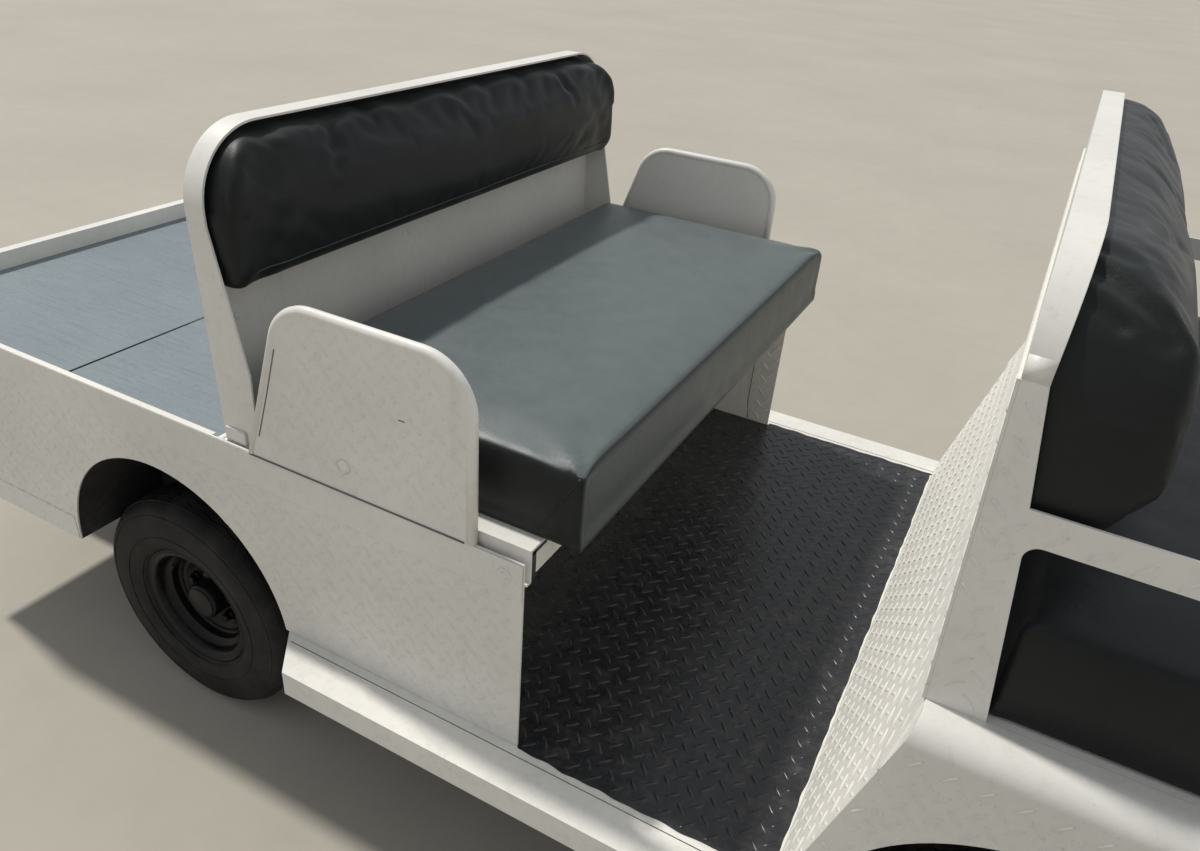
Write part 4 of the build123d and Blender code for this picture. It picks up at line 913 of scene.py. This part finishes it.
# Outlines are (radius, outboard) points in metres from the wheel's centre
SIDE_WALL = (
    (0.1165, 0.0445), (0.119, 0.0495), (0.124, 0.0535), (0.132, 0.0570), (0.142, 0.0590),
    (0.152, 0.0598), (0.163, 0.0594), (0.174, 0.0580), (0.184, 0.0562), (0.1905, 0.0552),
    (0.1960, 0.0530), (0.2010, 0.0480), (0.2050, 0.0420), (0.2065, 0.0380),
)
BEAD_SEAT = (0.1040, 0.0440)
TREAD_RIBS = ((0.0365, 0.0255), (0.0215, 0.0105), (0.0065, -0.0065), (-0.0105, -0.0215), (-0.0255, -0.0365))
GROOVE_DEPTH, ZIGZAG = 0.0065, 0.0022
SIDE_RINGS = ((0.1225, 0.0530, 0.0012), (0.1480, 0.0598, 0.0009), (0.1880, 0.0556, 0.0012))
RIM_INSIDE = (
    (0.1035, -0.0445), (0.1165, -0.0455), (0.1165, -0.0480), (0.1140, -0.0480), (0.1120, -0.0462),
    (0.1010, -0.0440), (0.0985, -0.0300), (0.0900, -0.0230), (0.0860, -0.0215), (0.0850, -0.0010),
    (0.0680, -0.0010), (0.0600, -0.0080), (0.0300, -0.0080),
)
RIM_OUTSIDE = (
    (0.0335, -0.0010), (0.0560, -0.0005), (0.0610, 0.0010), (0.0660, 0.0060), (0.0710, 0.0085),
    (0.0760, 0.0085), (0.0790, 0.0070), (0.0830, 0.0100), (0.0845, 0.0180), (0.0850, 0.0220),
    (0.0870, 0.0235), (0.0930, 0.0250), (0.0965, 0.0280), (0.0985, 0.0340), (0.1000, 0.0420),
    (0.1030, 0.0450), (0.1075, 0.0455), (0.1115, 0.0462), (0.1140, 0.0482), (0.1160, 0.0480),
    (0.1168, 0.0465), (0.1165, 0.0440), (0.1040, 0.0435), (0.1035, -0.0445),
)
HUB_CAP = (
    (0.0345, -0.0030), (0.0340, 0.0290), (0.0315, 0.0325), (0.0290, 0.0335), (0.0285, 0.0355),
    (0.0150, 0.0372), (0.0, 0.0375),
)
HUB_BACK = ((0.0, -0.0340), (0.0160, -0.0340), (0.0330, -0.0340), (0.0340, -0.0060))
NUT_SEAT = ((0.0105, -0.0010), (0.0105, 0.0035), (0.0092, 0.0050))
WHEEL_NUT = ((0.0088, 0.0045), (0.0088, 0.0125), (0.0070, 0.0150), (0.0, 0.0158))
NUT_CIRCLE, NUT_START = 0.048, 0.3
VALVE = ((0.0045, 0), (0.0045, 0.012), (0.0034, 0.014), (0.0034, 0.026), (0.0, 0.027))
VALVE_TURN, VALVE_CIRCLE = 2.1, 0.0905


def tyre_section(zig):
    """The tyre's section with its ribs, which lean to one side by the zigzag."""
    section = [BEAD_SEAT, *SIDE_WALL]
    for start, end in TREAD_RIBS:
        for across, wall in ((start, 0.0006), (end, -0.0006)):
            drop = 0.0016 * (across / 0.04) ** 2
            shift = zig if abs(across) < 0.034 else 0.0
            top = (TYRE_R - drop, across + shift)
            low = (TYRE_R - GROOVE_DEPTH, across + shift + wall)
            section += [low, top] if across == start else [top, low]
    return section + [(r, -a) for r, a in (*reversed(SIDE_WALL), BEAD_SEAT)]


def dressed_tyre(name, body, centre, axis):
    """One tyre with a ribbed tread, and the fine rings on its side walls."""
    tyre = Joined()
    segments = 120
    corners = []
    for step, (x, z) in enumerate(round_points(segments)):
        section = tyre_section(ZIGZAG * (1 if step % 4 < 2 else -1))
        corners += [centre + Vector((x, 0, z)) * r + axis * a for r, a in section]
    tyre.add(corners, lofted(segments, len(section), True, False))
    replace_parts(tyre.finish(f"tyre_dressed_{name}", "tyre_rubber", None, 40, body), f"tyre_{name}")
    rings = Joined()
    for radius, across, thick in SIDE_RINGS:
        for way in (1, -1):
            ring = [centre + Vector((x, 0, z)) * radius + axis * across * way for x, z in round_points(96)]
            rings.tube(ring, thick, 6, closed=True)
    rings.finish(f"tyre_rings_{name}", "tyre_rubber", None, 0, body)


def dressed_rim(name, body, centre, axis):
    """One deep pressed-steel rim with its hub cap, nuts and valve."""
    rim = Joined()
    for outline, segments in ((RIM_INSIDE, 72), (RIM_OUTSIDE, 72), (HUB_CAP, 40), (HUB_BACK, 40)):
        rim.lathe(outline, centre, axis, segments)
    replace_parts(rim.finish(f"rim_dressed_{name}", "wheel_black", None, 40, body), f"rim_{name}")
    nuts = Joined()
    for x, z in round_points(5, NUT_CIRCLE, NUT_START):
        nuts.lathe(NUT_SEAT, centre + Vector((x, 0, z)), axis, 20)
        nuts.lathe(WHEEL_NUT, centre + Vector((x, 0, z)), axis, 6)
    nuts.finish(f"wheel_nuts_{name}", "wheel_black", None, 30, body)
    valve = Joined()
    out = Vector((math.cos(VALVE_TURN), 0, math.sin(VALVE_TURN)))
    valve.lathe(VALVE, centre + out * VALVE_CIRCLE + axis * 0.022, axis - out * 0.35, 10)
    valve.finish(f"valve_{name}", "tyre_rubber", None, 30, body)


def wheels():
    """Four wheels, each on its own body."""
    for side_name, side in SIDES.items():
        for axle_name, x in AXLES.items():
            name = f"{axle_name}_{side_name}"
            place = (f"wheel_{name}", Vector((x, side * WHEEL_Y, TYRE_R)), Vector((0, side, 0)))
            dressed_tyre(name, *place)
            dressed_rim(name, *place)


# Trim of the body

MARK_X, MARK_Z = (-0.178, -0.168), (0.7920, 0.7934)
PLUG_X, PLUG_Z = -0.270, 0.693
PLUG = (
    (0.0112, -0.0003), (0.0112, 0.0005), (0.0098, 0.0007), (0.0094, 0.0001), (0.0080, 0.0009), (0.0, 0.0013),
)
ARCH_REAR_X = -0.903
STEP_EDGE = 0.0003


def wavy_strip(joined, start, along, across, length, width, wave, seed):
    """A brushed paint edge: straight on one side, uneven on the other."""
    start = Vector(start)
    count = int(length / 0.006)
    corners = []
    for index in range(count + 1):
        spot = start + along * (length * index / count)
        reach = width + wave * noise.noise(Vector((index * 0.21, seed, 0.3)))
        corners += [spot, spot + across * reach]
    joined.add(corners, lofted(count + 1, 2, False, False))


def armrest_trim(side_name, side):
    """The rounded edging of one armrest, its plug, and its joint line, plug ring and small marks drawn as dark
    lines of painted shade.
    """
    low, high = BOX["armrests"]
    y = side * (ARM_HALF - 0.006)
    path = bent_path([
        (high.x - 0.005, y, RAIL_Z), (high.x - 0.005, y, high.z - 0.005),
        (low.x + 0.085, y, high.z - 0.005), (low.x + 0.005, y, RAIL_Z),
    ], (0.067, 0.067), 14)
    edging = Joined()
    edging.tube(path, 0.0076, 14)
    edging.finish(f"armrest_edging_{side_name}", angle=0)
    face = side * ARM_HALF
    # Painted shade: a sloping mark, the joint line under the armrest, a ring round the plug and a short dent
    # mark, drawn as dark lines.
    marks = Joined()
    marks.tube([(-0.369, face, 0.829), (-0.392, face, 0.757), (-0.416, face, 0.687)], 0.0009)
    joint, joint_z = face + side * 0.0004, RAIL_Z + 0.0004
    marks.tube([(low.x + 0.003, joint, joint_z), (high.x - 0.012, joint, joint_z)], 0.0014)
    ring = [(PLUG_X + x, face + side * 0.0003, PLUG_Z + z) for x, z in round_points(36, 0.0102)]
    marks.tube(ring, 0.0004, 6, closed=True)
    marks.strip(*MARK_X, face - side * 0.0004, face + side * 0.0004, *MARK_Z)
    marks.finish(f"armrest_shade_lines_{side_name}", material=SEAM_SHADOW, angle=0)
    plug = Joined()
    plug.lathe(PLUG, (PLUG_X, face, PLUG_Z), (0, side, 0))
    plug.finish(f"armrest_plug_{side_name}", angle=30)


def panel_trim(side_name, side):
    """The smooth upper band and the lower hem of one rear side panel, with its bolts."""
    face = side * BODY_HALF
    inner, outer = face - side * 0.0003, face + side * 0.0013
    band = Joined()
    band.strip(BODY_REAR + 0.0005, -0.0005, inner, outer, BAND_Z, RAIL_Z - 0.0008, 0.3)
    band.strip(BODY_REAR + 0.0005, ARCH_REAR_X, inner, outer, SKIRT_Z + 0.0005, 0.352, 0.3)
    band.finish(f"panel_band_{side_name}")
    bolts = Joined()
    for x in (-0.027, BODY_REAR + 0.030):
        bolts.screw((x, outer, 0.626), (0, side, 0), 0.0062)
    bolts.finish(f"panel_bolts_{side_name}", angle=30)


def step_trim(side_name, side):
    """The step's groove, drawn as a dark line of painted shade, and the uneven black paint edge beside the
    floor.
    """
    low, high = BOX["step_rails"]
    # Painted shade: the groove is a thin dark strip.
    line = Joined()
    y = side * (BODY_HALF + 0.015)
    line.strip(
        low.x + 0.018, high.x - 0.004, y - 0.0007, y + 0.0007, FLOOR_Z - STEP_EDGE, FLOOR_Z + STEP_EDGE,
    )
    line.finish(f"step_groove_{side_name}", material=SEAM_SHADOW, angle=0)
    edge = Joined()
    start = (0.002, side * (BODY_HALF - 0.002), FLOOR_Z + 0.0004)
    wavy_strip(edge, start, X_AXIS, Y_AXIS * side, 0.376, 0.0070, 0.0045, side)
    edge.finish(f"floor_paint_edge_{side_name}", "black_floor", angle=0)


def bench_trim():
    """Screws on the bare backrest panel and the brackets at its foot."""
    shell = surface_of("bench_back_shell")
    screws, brackets, bolts = Joined(), Joined(), Joined()
    for y, z in ((-0.465, 0.816), (-0.096, 0.838), (0.460, 0.820)):
        spot, normal = shell.ray_cast(Vector((-0.30, y, z)), -X_AXIS)[:2]
        screws.screw(spot, normal, 0.0032)
    screws.finish("backrest_screws", angle=30)
    for side in BOTH:
        y = side * 0.487
        foot = shell.ray_cast(Vector((-0.60, y, DECK_Z + 0.03)), X_AXIS)[0].x
        brackets.strip(foot - 0.050, foot, y - 0.017, y + 0.017, DECK_Z, DECK_Z + 0.0035)
        brackets.strip(foot - 0.0045, foot, y - 0.017, y + 0.017, DECK_Z, DECK_Z + 0.052)
        bolts.screw((foot - 0.032, y, DECK_Z + 0.0035), Z_AXIS)
        bolts.screw((foot - 0.0045, y, DECK_Z + 0.034), -X_AXIS)
        face = side * (BODY_HALF - 0.011)
        brackets.strip(-0.4930, -0.4555, face, face + side * 0.0042, RAIL_Z, RAIL_Z + 0.0205)
    brackets.finish("backrest_brackets")
    bolts.finish("bracket_bolts", "black_steel", ZINC, 30)


def floor_trim():
    """The joints of the floor plates and deck boards, and the paint edge at the toe-board's foot."""
    seam, gap, edge = Joined(), Joined(), Joined()
    seam.strip(RISER_X, 0.130, 0.3370, 0.3410, FLOOR_Z - 0.0003, FLOOR_Z + 0.0004)
    seam.finish("floor_seam", "black_floor", MATERIALS["black_plastic"], 0)
    low, high = BOX["deck_boards"]
    gap.strip(
        DECK_SEAM - 0.0026, DECK_SEAM + 0.0026, low.y + 0.002, high.y - 0.002, DECK_Z - 0.001, DECK_Z + 0.0002,
    )
    gap.finish("deck_seam_line", "deck_paint", MATERIALS["wheel_black"], 0)
    wavy_strip(edge, (0.366, -0.524, FLOOR_Z + 0.0004), Y_AXIS, -X_AXIS, 1.048, 0.0032, 0.0022, 5)
    edge.finish("toe_paint_edge", angle=0)


def inner_joints():
    """The joint inside each rear side panel, drawn as a dark line of painted shade, with bare tread plate
    ahead of it.
    """
    joints, lugs = Joined(), Joined()
    for side_name, side in SIDES.items():
        y = side * (BODY_HALF - 0.003)
        # Painted shade: a thin dark tube along the joint.
        line = [(-0.0480, y, FLOOR_Z + 0.002), (-0.0540, y, 0.384), (-0.0545, y, BENCH_Z - 0.050)]
        joints.tube(line, 0.0009)
        start = (-0.046 if side > 0 else -0.004, y, FLOOR_Z)
        tread(lugs, surface_of(f"rear_side_panel_{side_name}"), start, X_AXIS * side, Z_AXIS, 0.042, 0.30)
    joints.finish("inner_panel_joints", material=SEAM_SHADOW, angle=0)
    lugs.finish("lugs_inner_panels", angle=0)


def channel_ends():
    """Black strips at the open front ends of the bench's side channels: painted shade for their dark insides.
    """
    ends = Joined()
    back, front = BOX["bench_seat_frame"][1].x - 0.001, BOX["bench_seat_frame"][1].x + 0.0004
    for side in BOTH:
        outer = side * (BODY_HALF - 0.0132)
        # Painted shade: an upright strip inside the outer web and a flat one under the top plate.
        ends.strip(back, front, outer, outer - side * 0.009, BENCH_Z - 0.046, BENCH_Z - 0.004)
        ends.strip(back, front, outer, outer - side * 0.034, BENCH_Z - 0.0085, BENCH_Z - 0.003)
    ends.finish("bench_channel_end_shade", "black_steel")


def wheelhouse_walls():
    """A black half-round plate inside each rear wheel housing."""
    low, high = BOX["rear_wheel_housings"]
    centre_x, radius = (low.x + high.x) / 2, (high.x - low.x) / 2 - 0.0005
    half_turn = [(centre_x + x, low.z + z) for x, z in round_points(48, radius)[:25]]
    walls = Joined()
    for side in BOTH:
        walls.add(*prism(half_turn, side * 0.3510, side * 0.3535))
    walls.finish("wheelhouse_walls", "black_steel")


def rim_beads():
    """The filled joint where the front backrest's rim leaves each side plate."""
    top = BOX["front_seat_sides"][1].z
    rim = surface_of("front_back_shell")
    beads = Joined()
    for side in BOTH:
        corners = []
        for probe_z, probe_y, z, y in (
            (top - 0.003, 0.5080, top - 0.0002, SEAT_HALF), (top + 0.020, 0.5050, top + 0.020, 0.5063),
        ):
            for way, start, inset in ((1, 0.30, 0.0004), (-1, 0.62, -0.0004)):
                hit = rim.ray_cast(Vector((start, side * probe_y, probe_z)), X_AXIS * way)
                corners.append((hit[0].x + inset, side * y, z))
        corners += [(x, side * 0.5045, z) for x, y, z in corners]
        faces = [[0, 1, 3, 2], [4, 5, 7, 6], [0, 1, 5, 4], [2, 3, 7, 6], [0, 2, 6, 4], [1, 3, 7, 5]]
        beads.add(corners, faces)
    beads.finish("rim_joint_fill", angle=0)


def cowl_caps():
    """The plates that close the cowl's bends at both sides."""
    top, foot = BOX["cowl"][1].z, 0.9145
    corners = [(DASH_X, 0, foot), (DASH_X, 0, top), (1.4430, 0, top), (1.4461, 0, foot)]
    outline = bent_path(corners, (0.024, 0.030))
    caps = Joined()
    for side in BOTH:
        caps.add(*prism([(p.x, p.z) for p in outline], side * (FRONT_HALF - 0.0035), side * FRONT_HALF))
    caps.finish("cowl_end_caps")


def body_trim():
    """All trim of the body."""
    for trim in (cowl_caps, rim_beads, channel_ends, inner_joints, wheelhouse_walls):
        trim()
    for side_name, side in SIDES.items():
        armrest_trim(side_name, side)
        panel_trim(side_name, side)
        step_trim(side_name, side)
    bench_trim()
    floor_trim()


# Lamps and driver's controls

LAMP_Y, TAIL_LAMP_Y, TAIL_LAMP_Z = 0.380, 0.430, 0.520
BEZEL = (
    (0.0720, -0.001), (0.0720, 0.010), (0.0700, 0.017), (0.0650, 0.0225), (0.0610, 0.0240),
    (0.0580, 0.0232), (0.0570, 0.0205),
)
BOWL = (
    (0.0575, 0.0195), (0.0520, 0.0130), (0.0400, 0.0070), (0.0240, 0.0030), (0.0110, 0.0016),
    (0.0105, 0.0080), (0.0080, 0.0130), (0.0045, 0.0155), (0.0, 0.0160),
)
HEAD_LENS = (
    (0.0580, 0.0190), (0.0585, 0.0215), (0.0540, 0.0252), (0.0430, 0.0292), (0.0280, 0.0322),
    (0.0140, 0.0336), (0.0, 0.0340),
)
TAIL_BASE = ((0.0425, -0.001), (0.0425, 0.006), (0.0405, 0.0085), (0.0370, 0.0088))
TAIL_LENS = (
    (0.0385, 0.0040), (0.0385, 0.0110), (0.0360, 0.0150), (0.0300, 0.0180), (0.0180, 0.0205), (0.0, 0.0215),
)


def lamps():
    """Round headlamps in bright bezels and two red tail lamps."""
    slope = COWL_SLOPE.normalized()
    out = Vector((slope.z, 0, -slope.x))
    bezels, bowls, glass, bases, red = Joined(), Joined(), Joined(), Joined(), Joined()
    for side in BOTH:
        spot = Vector((COWL_FOOT_X, side * LAMP_Y, FRONT_SKIRT_Z)) + slope * 0.403 / slope.z
        for joined, outline, segments in ((bezels, BEZEL, 64), (bowls, BOWL, 48), (glass, HEAD_LENS, 48)):
            joined.lathe(outline, spot, out, segments)
        spot = (BODY_REAR, side * TAIL_LAMP_Y, TAIL_LAMP_Z)
        bases.lathe(TAIL_BASE, spot, -X_AXIS, 48)
        red.lathe(TAIL_LENS, spot, -X_AXIS, 48)
    bezels.finish("headlamp_bezels", "lamp_glass", CHROME)
    bowls.finish("headlamp_bowls", "lamp_glass", CHROME)
    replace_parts(glass.finish("headlamp_lenses", "lamp_glass"), "headlamps")
    bases.finish("tail_lamp_bases", "black_plastic")
    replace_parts(red.finish("tail_lamp_lenses", "lamp_red"), "tail_lamps")


WHEEL_R = 0.174
SPOKE = ((0.020, -0.010), (0.060, -0.009), (0.130, -0.004), (0.172, -0.001))
HUB = (
    (0.0, -0.030), (0.0280, -0.030), (0.0300, -0.022), (0.0300, -0.006), (0.0280, -0.0012), (0.0215, -0.0004),
)
HORN = ((0.0215, -0.0010), (0.0210, 0.0020), (0.0170, 0.0036), (0.0090, 0.0042), (0.0, 0.0044))
BOOT = (
    (0.0460, -0.030), (0.0460, 0.006), (0.0400, 0.012), (0.0350, 0.013), (0.0370, 0.020), (0.0305, 0.024),
    (0.0320, 0.031), (0.0255, 0.036), (0.0262, 0.044), (0.0200, 0.050),
)
BOOT_FOOT = (1.428, 0.260, 0.4483)


def steering():
    """The steering wheel's round rim, dished spokes and horn button, and the column's boot."""
    turn = Matrix.Rotation(-STEERING_TILT, 3, "Y")
    axis = turn @ Z_AXIS

    def on_wheel(x, y, z):
        """A spot given from the steering wheel's centre, in its own plane."""
        return STEERING_HUB + turn @ Vector((x, y, z))

    wheel = Joined()
    wheel.tube([on_wheel(x, y, 0) for x, y in round_points(120, WHEEL_R)], 0.0108, 16, closed=True)
    for x, y in round_points(36, WHEEL_R, math.pi / 36):
        wheel.lathe(((0.0058, -0.0040), (0.0050, 0.0), (0.0030, 0.0012)), on_wheel(x, y, -0.0085), -axis, 8)
    for x, y in round_points(3, 1.0, math.pi / 2):
        wheel.tube([on_wheel(x * r, y * r, h) for r, h in SPOKE], 0.0056, 10)
    wheel.lathe(HUB, STEERING_HUB, axis, 40)
    made = wheel.finish("steering_wheel_dressed", "black_plastic", angle=50, body="steering_wheel")
    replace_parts(made, "steering_wheel")
    button, boot = Joined(), Joined()
    button.lathe(HORN, STEERING_HUB, axis, 32)
    button.finish("horn_button", "black_plastic", CHROME, body="steering_wheel")
    boot.lathe(BOOT, BOOT_FOOT, axis, 32)
    boot.finish("column_boot", "tyre_rubber")


DASH_Z, GAUGE_Y, KEY_Y, SWITCH_Y, KNOB_Y = 0.845, 0.385, 0.310, 0.215, 0.135
GAUGE_RING = ((0.0290, -0.001), (0.0290, 0.005), (0.0270, 0.0075), (0.0240, 0.0080), (0.0235, 0.0055))
KEY_RING = ((0.0125, -0.001), (0.0125, 0.004), (0.0105, 0.007), (0.0, 0.0072))
SWITCH_RING = ((0.0085, -0.001), (0.0085, 0.004), (0.0060, 0.006))
KNOB = ((0.0040, 0.002), (0.0040, 0.012), (0.0110, 0.014), (0.0120, 0.022), (0.0100, 0.0255), (0.0, 0.0260))
PEDALS_X, PEDALS_Z, PEDALS_TILT = 1.309, 0.495, math.radians(-35)


def dash():
    """A charge gauge, key switch, direction switch and light knob on the dash."""
    top = DASH_X - 0.003
    plate, rings, dial, black = Joined(), Joined(), Joined(), Joined()
    plate.strip(top, DASH_X, 0.070, 0.450, 0.800, 0.890, 0.3)
    rings.lathe(GAUGE_RING, (top, GAUGE_Y, DASH_Z), -X_AXIS, 40)
    dial.lathe(((0.0240, 0.0035), (0.0, 0.0035)), (top, GAUGE_Y, DASH_Z), -X_AXIS, 40)
    for index in range(11):
        angle = math.radians(-120 + 24 * index)
        spot = (top - 0.0040, GAUGE_Y + 0.0185 * math.sin(angle), DASH_Z + 0.0185 * math.cos(angle))
        black.rounded_box(spot, (0.0004, 0.0010, 0.0045), Matrix.Rotation(-angle, 3, "X"))
    black.tube([(top - 0.0052, GAUGE_Y, DASH_Z), (top - 0.0052, GAUGE_Y + 0.011, DASH_Z + 0.013)], 0.0007, 6)
    rings.lathe(KEY_RING, (top, KEY_Y, DASH_Z), -X_AXIS, 28)
    rings.rounded_box((top - 0.018, KEY_Y, DASH_Z), (0.024, 0.0022, 0.012))
    rings.lathe(SWITCH_RING, (top, SWITCH_Y, DASH_Z), -X_AXIS, 20)
    rings.tube([(top - 0.004, SWITCH_Y, DASH_Z), (top - 0.026, SWITCH_Y, DASH_Z + 0.008)], 0.0034, 10)
    black.lathe(KNOB, (top, KNOB_Y, DASH_Z), -X_AXIS, 28)
    plate.finish("dash_plate", "black_steel")
    rings.finish("dash_metal", "black_steel", CHROME)
    dial.finish("gauge_face", "black_plastic", DIAL)
    black.finish("dash_knobs", "black_plastic")


def pedal_pads():
    """Ribbed rubber pads on the two pedals."""
    pads = Joined()
    turn = Matrix.Rotation(PEDALS_TILT, 3, "Y")
    for y, width in ((0.160, 0.055), (0.305, 0.075)):
        centre = Vector((PEDALS_X, y, PEDALS_Z))
        pads.rounded_box(centre + turn @ Vector((-0.0065, 0, 0)), (0.0045, width, 0.075), turn, 0.3)
        for index in range(6):
            spot = centre + turn @ Vector((-0.0095, 0, -0.030 + 0.012 * index))
            pads.rounded_box(spot, (0.0026, width * 0.88, 0.0050), turn, 0.3)
    pads.finish("pedal_rubbers", "tyre_rubber")


# Running gear

U_HALF, U_FOOT_Z = 0.0345, 0.142
U_NUT = ((0.0, -0.003), (0.0085, -0.003), (0.0085, 0.0045), (0.0, 0.0045))
EYE_NUT = ((0.0105, -0.0005), (0.0105, 0.006), (0.0080, 0.0075), (0.0, 0.0075))
FIN = ((0.0570, -0.0022), (0.0615, -0.0016), (0.0615, 0.0016), (0.0570, 0.0022))
MOTOR_CAP = ((0.0560, 0.0), (0.0560, 0.004), (0.0400, 0.010), (0.0180, 0.012), (0.0, 0.012))
CASE_FLANGE = ((0.0600, -0.006), (0.0680, -0.005), (0.0680, 0.005), (0.0600, 0.006))
CASE_STUD = ((0.0045, 0.0), (0.0045, 0.0045), (0.0, 0.005))
CAP_STUD = ((0.0050, -0.002), (0.0050, 0.0045), (0.0, 0.005))
TAIL_BOLT = ((0.0, 0.0065), (0.0070, 0.006), (0.0080, -0.0005))
BUMPER_BOLT = ((0.0, 0.0065), (0.0090, 0.006), (0.0100, -0.0005))
STEP_BOLT = ((0.0, 0.0055), (0.0070, 0.005), (0.0080, -0.0005))
PIN_CAP = ((0.0150, -0.0005), (0.0150, 0.0035), (0.0120, 0.0050), (0.0, 0.0055))


def spring_bolts():
    """U-bolts, their plates and nuts at each axle, and the nuts of the spring eyes."""
    bolts, nuts = Joined(), Joined()
    for x in AXLES.values():
        for side in BOTH:
            for offset in (-0.014, 0.014):
                y = side * SPRING_Y + offset
                path = [(x + U_HALF, y, U_FOOT_Z)]
                path += [(x + across, y, TYRE_R + rise) for across, rise in round_points(24, U_HALF)[:13]]
                path += [(x - U_HALF, y, U_FOOT_Z)]
                bolts.tube(path, 0.0045)
                for way in (1, -1):
                    nuts.lathe(U_NUT, (x + way * U_HALF, y, 0.1460), -Z_AXIS, 6)
            y = side * SPRING_Y
            bolts.strip(x - 0.046, x + 0.046, y - 0.025, y + 0.025, 0.1475, 0.1528)
            for way in (1, -1):
                for ear in (1, -1):
                    nuts.lathe(EYE_NUT, (x + way * 0.310, y + ear * 0.0265, 0.190), (0, ear, 0), 6)
    bolts.finish("spring_u_bolts", "black_steel")
    nuts.finish("spring_nuts", "black_steel", ZINC, 30)


def motor_trim():
    """Cooling fins and end cap of the motor, and the flanges of the drive case."""
    gear = Joined()
    rear = AXLES["rear"]
    for index in range(9):
        gear.lathe(FIN, (rear - 0.085 - 0.018 * index, 0, TYRE_R), X_AXIS, 40)
    gear.lathe(MOTOR_CAP, (rear - 0.270, 0, TYRE_R), -X_AXIS, 40)
    for way in (1, -1):
        gear.lathe(CASE_FLANGE, (rear, way * 0.046, TYRE_R), Y_AXIS, 40)
    gear.finish("motor_fins", "axle_iron")


def frame_bolts():
    """The bolts of drive case, motor, frame tail, bumper and steps, and the kingpins' caps."""
    studs, caps = Joined(), Joined()
    rear = AXLES["rear"]
    for x, z in round_points(10, 0.0640):
        for way in (1, -1):
            studs.lathe(CASE_STUD, (rear + x, way * 0.0500, TYRE_R + z), (0, way, 0), 6)
    for y, z in round_points(4, 0.038, math.pi / 4):
        studs.lathe(CAP_STUD, (rear - 0.276, y, TYRE_R + z), -X_AXIS, 6)
    for y in (-0.190, -0.110, 0.110, 0.190):
        for z in (0.282, 0.314):
            studs.lathe(TAIL_BOLT, (BOX["chassis_frame"][0].x - 0.010, y, z), -X_AXIS, 6)
    for side in BOTH:
        for z in (0.285, 0.330):
            studs.lathe(BUMPER_BOLT, (BOX["front_bumper"][1].x, side * SPRING_Y, z), X_AXIS, 6)
        for x in (BOX["step_rails"][0].x + 0.082, -0.040, 0.330):
            for offset in (-0.014, 0.014):
                studs.lathe(STEP_BOLT, (x + offset, side * 0.560, 0.297), -Z_AXIS, 6)
        for way in (1, -1):
            spot = (AXLES["front"], side * KINGPIN_Y, TYRE_R + way * 0.052)
            caps.lathe(PIN_CAP, spot, (0, 0, way))
    studs.finish("frame_bolts", "black_steel", ZINC, 30)
    caps.finish("kingpin_caps", "axle_iron")


place_camera()
light_scene()
for side_name, side in SIDES.items():
    side_treads(side_name, side)
for section in (
    sheet_treads, seat_goods, wheels, body_trim, lamps, steering, dash, pedal_pads, spring_bolts,
    motor_trim, frame_bolts,
):
    section()

FLOOR_REACH = 40
floor_corners = [(x * FLOOR_REACH, y * FLOOR_REACH, 0) for x, y in ((-1, -1), (1, -1), (1, 1), (-1, 1))]
floor = linked("floor", mesh_of("floor", floor_corners, [[0, 1, 2, 3]]))
floor.location.z = -0.0004
floor.data.materials.append(pale_floor())
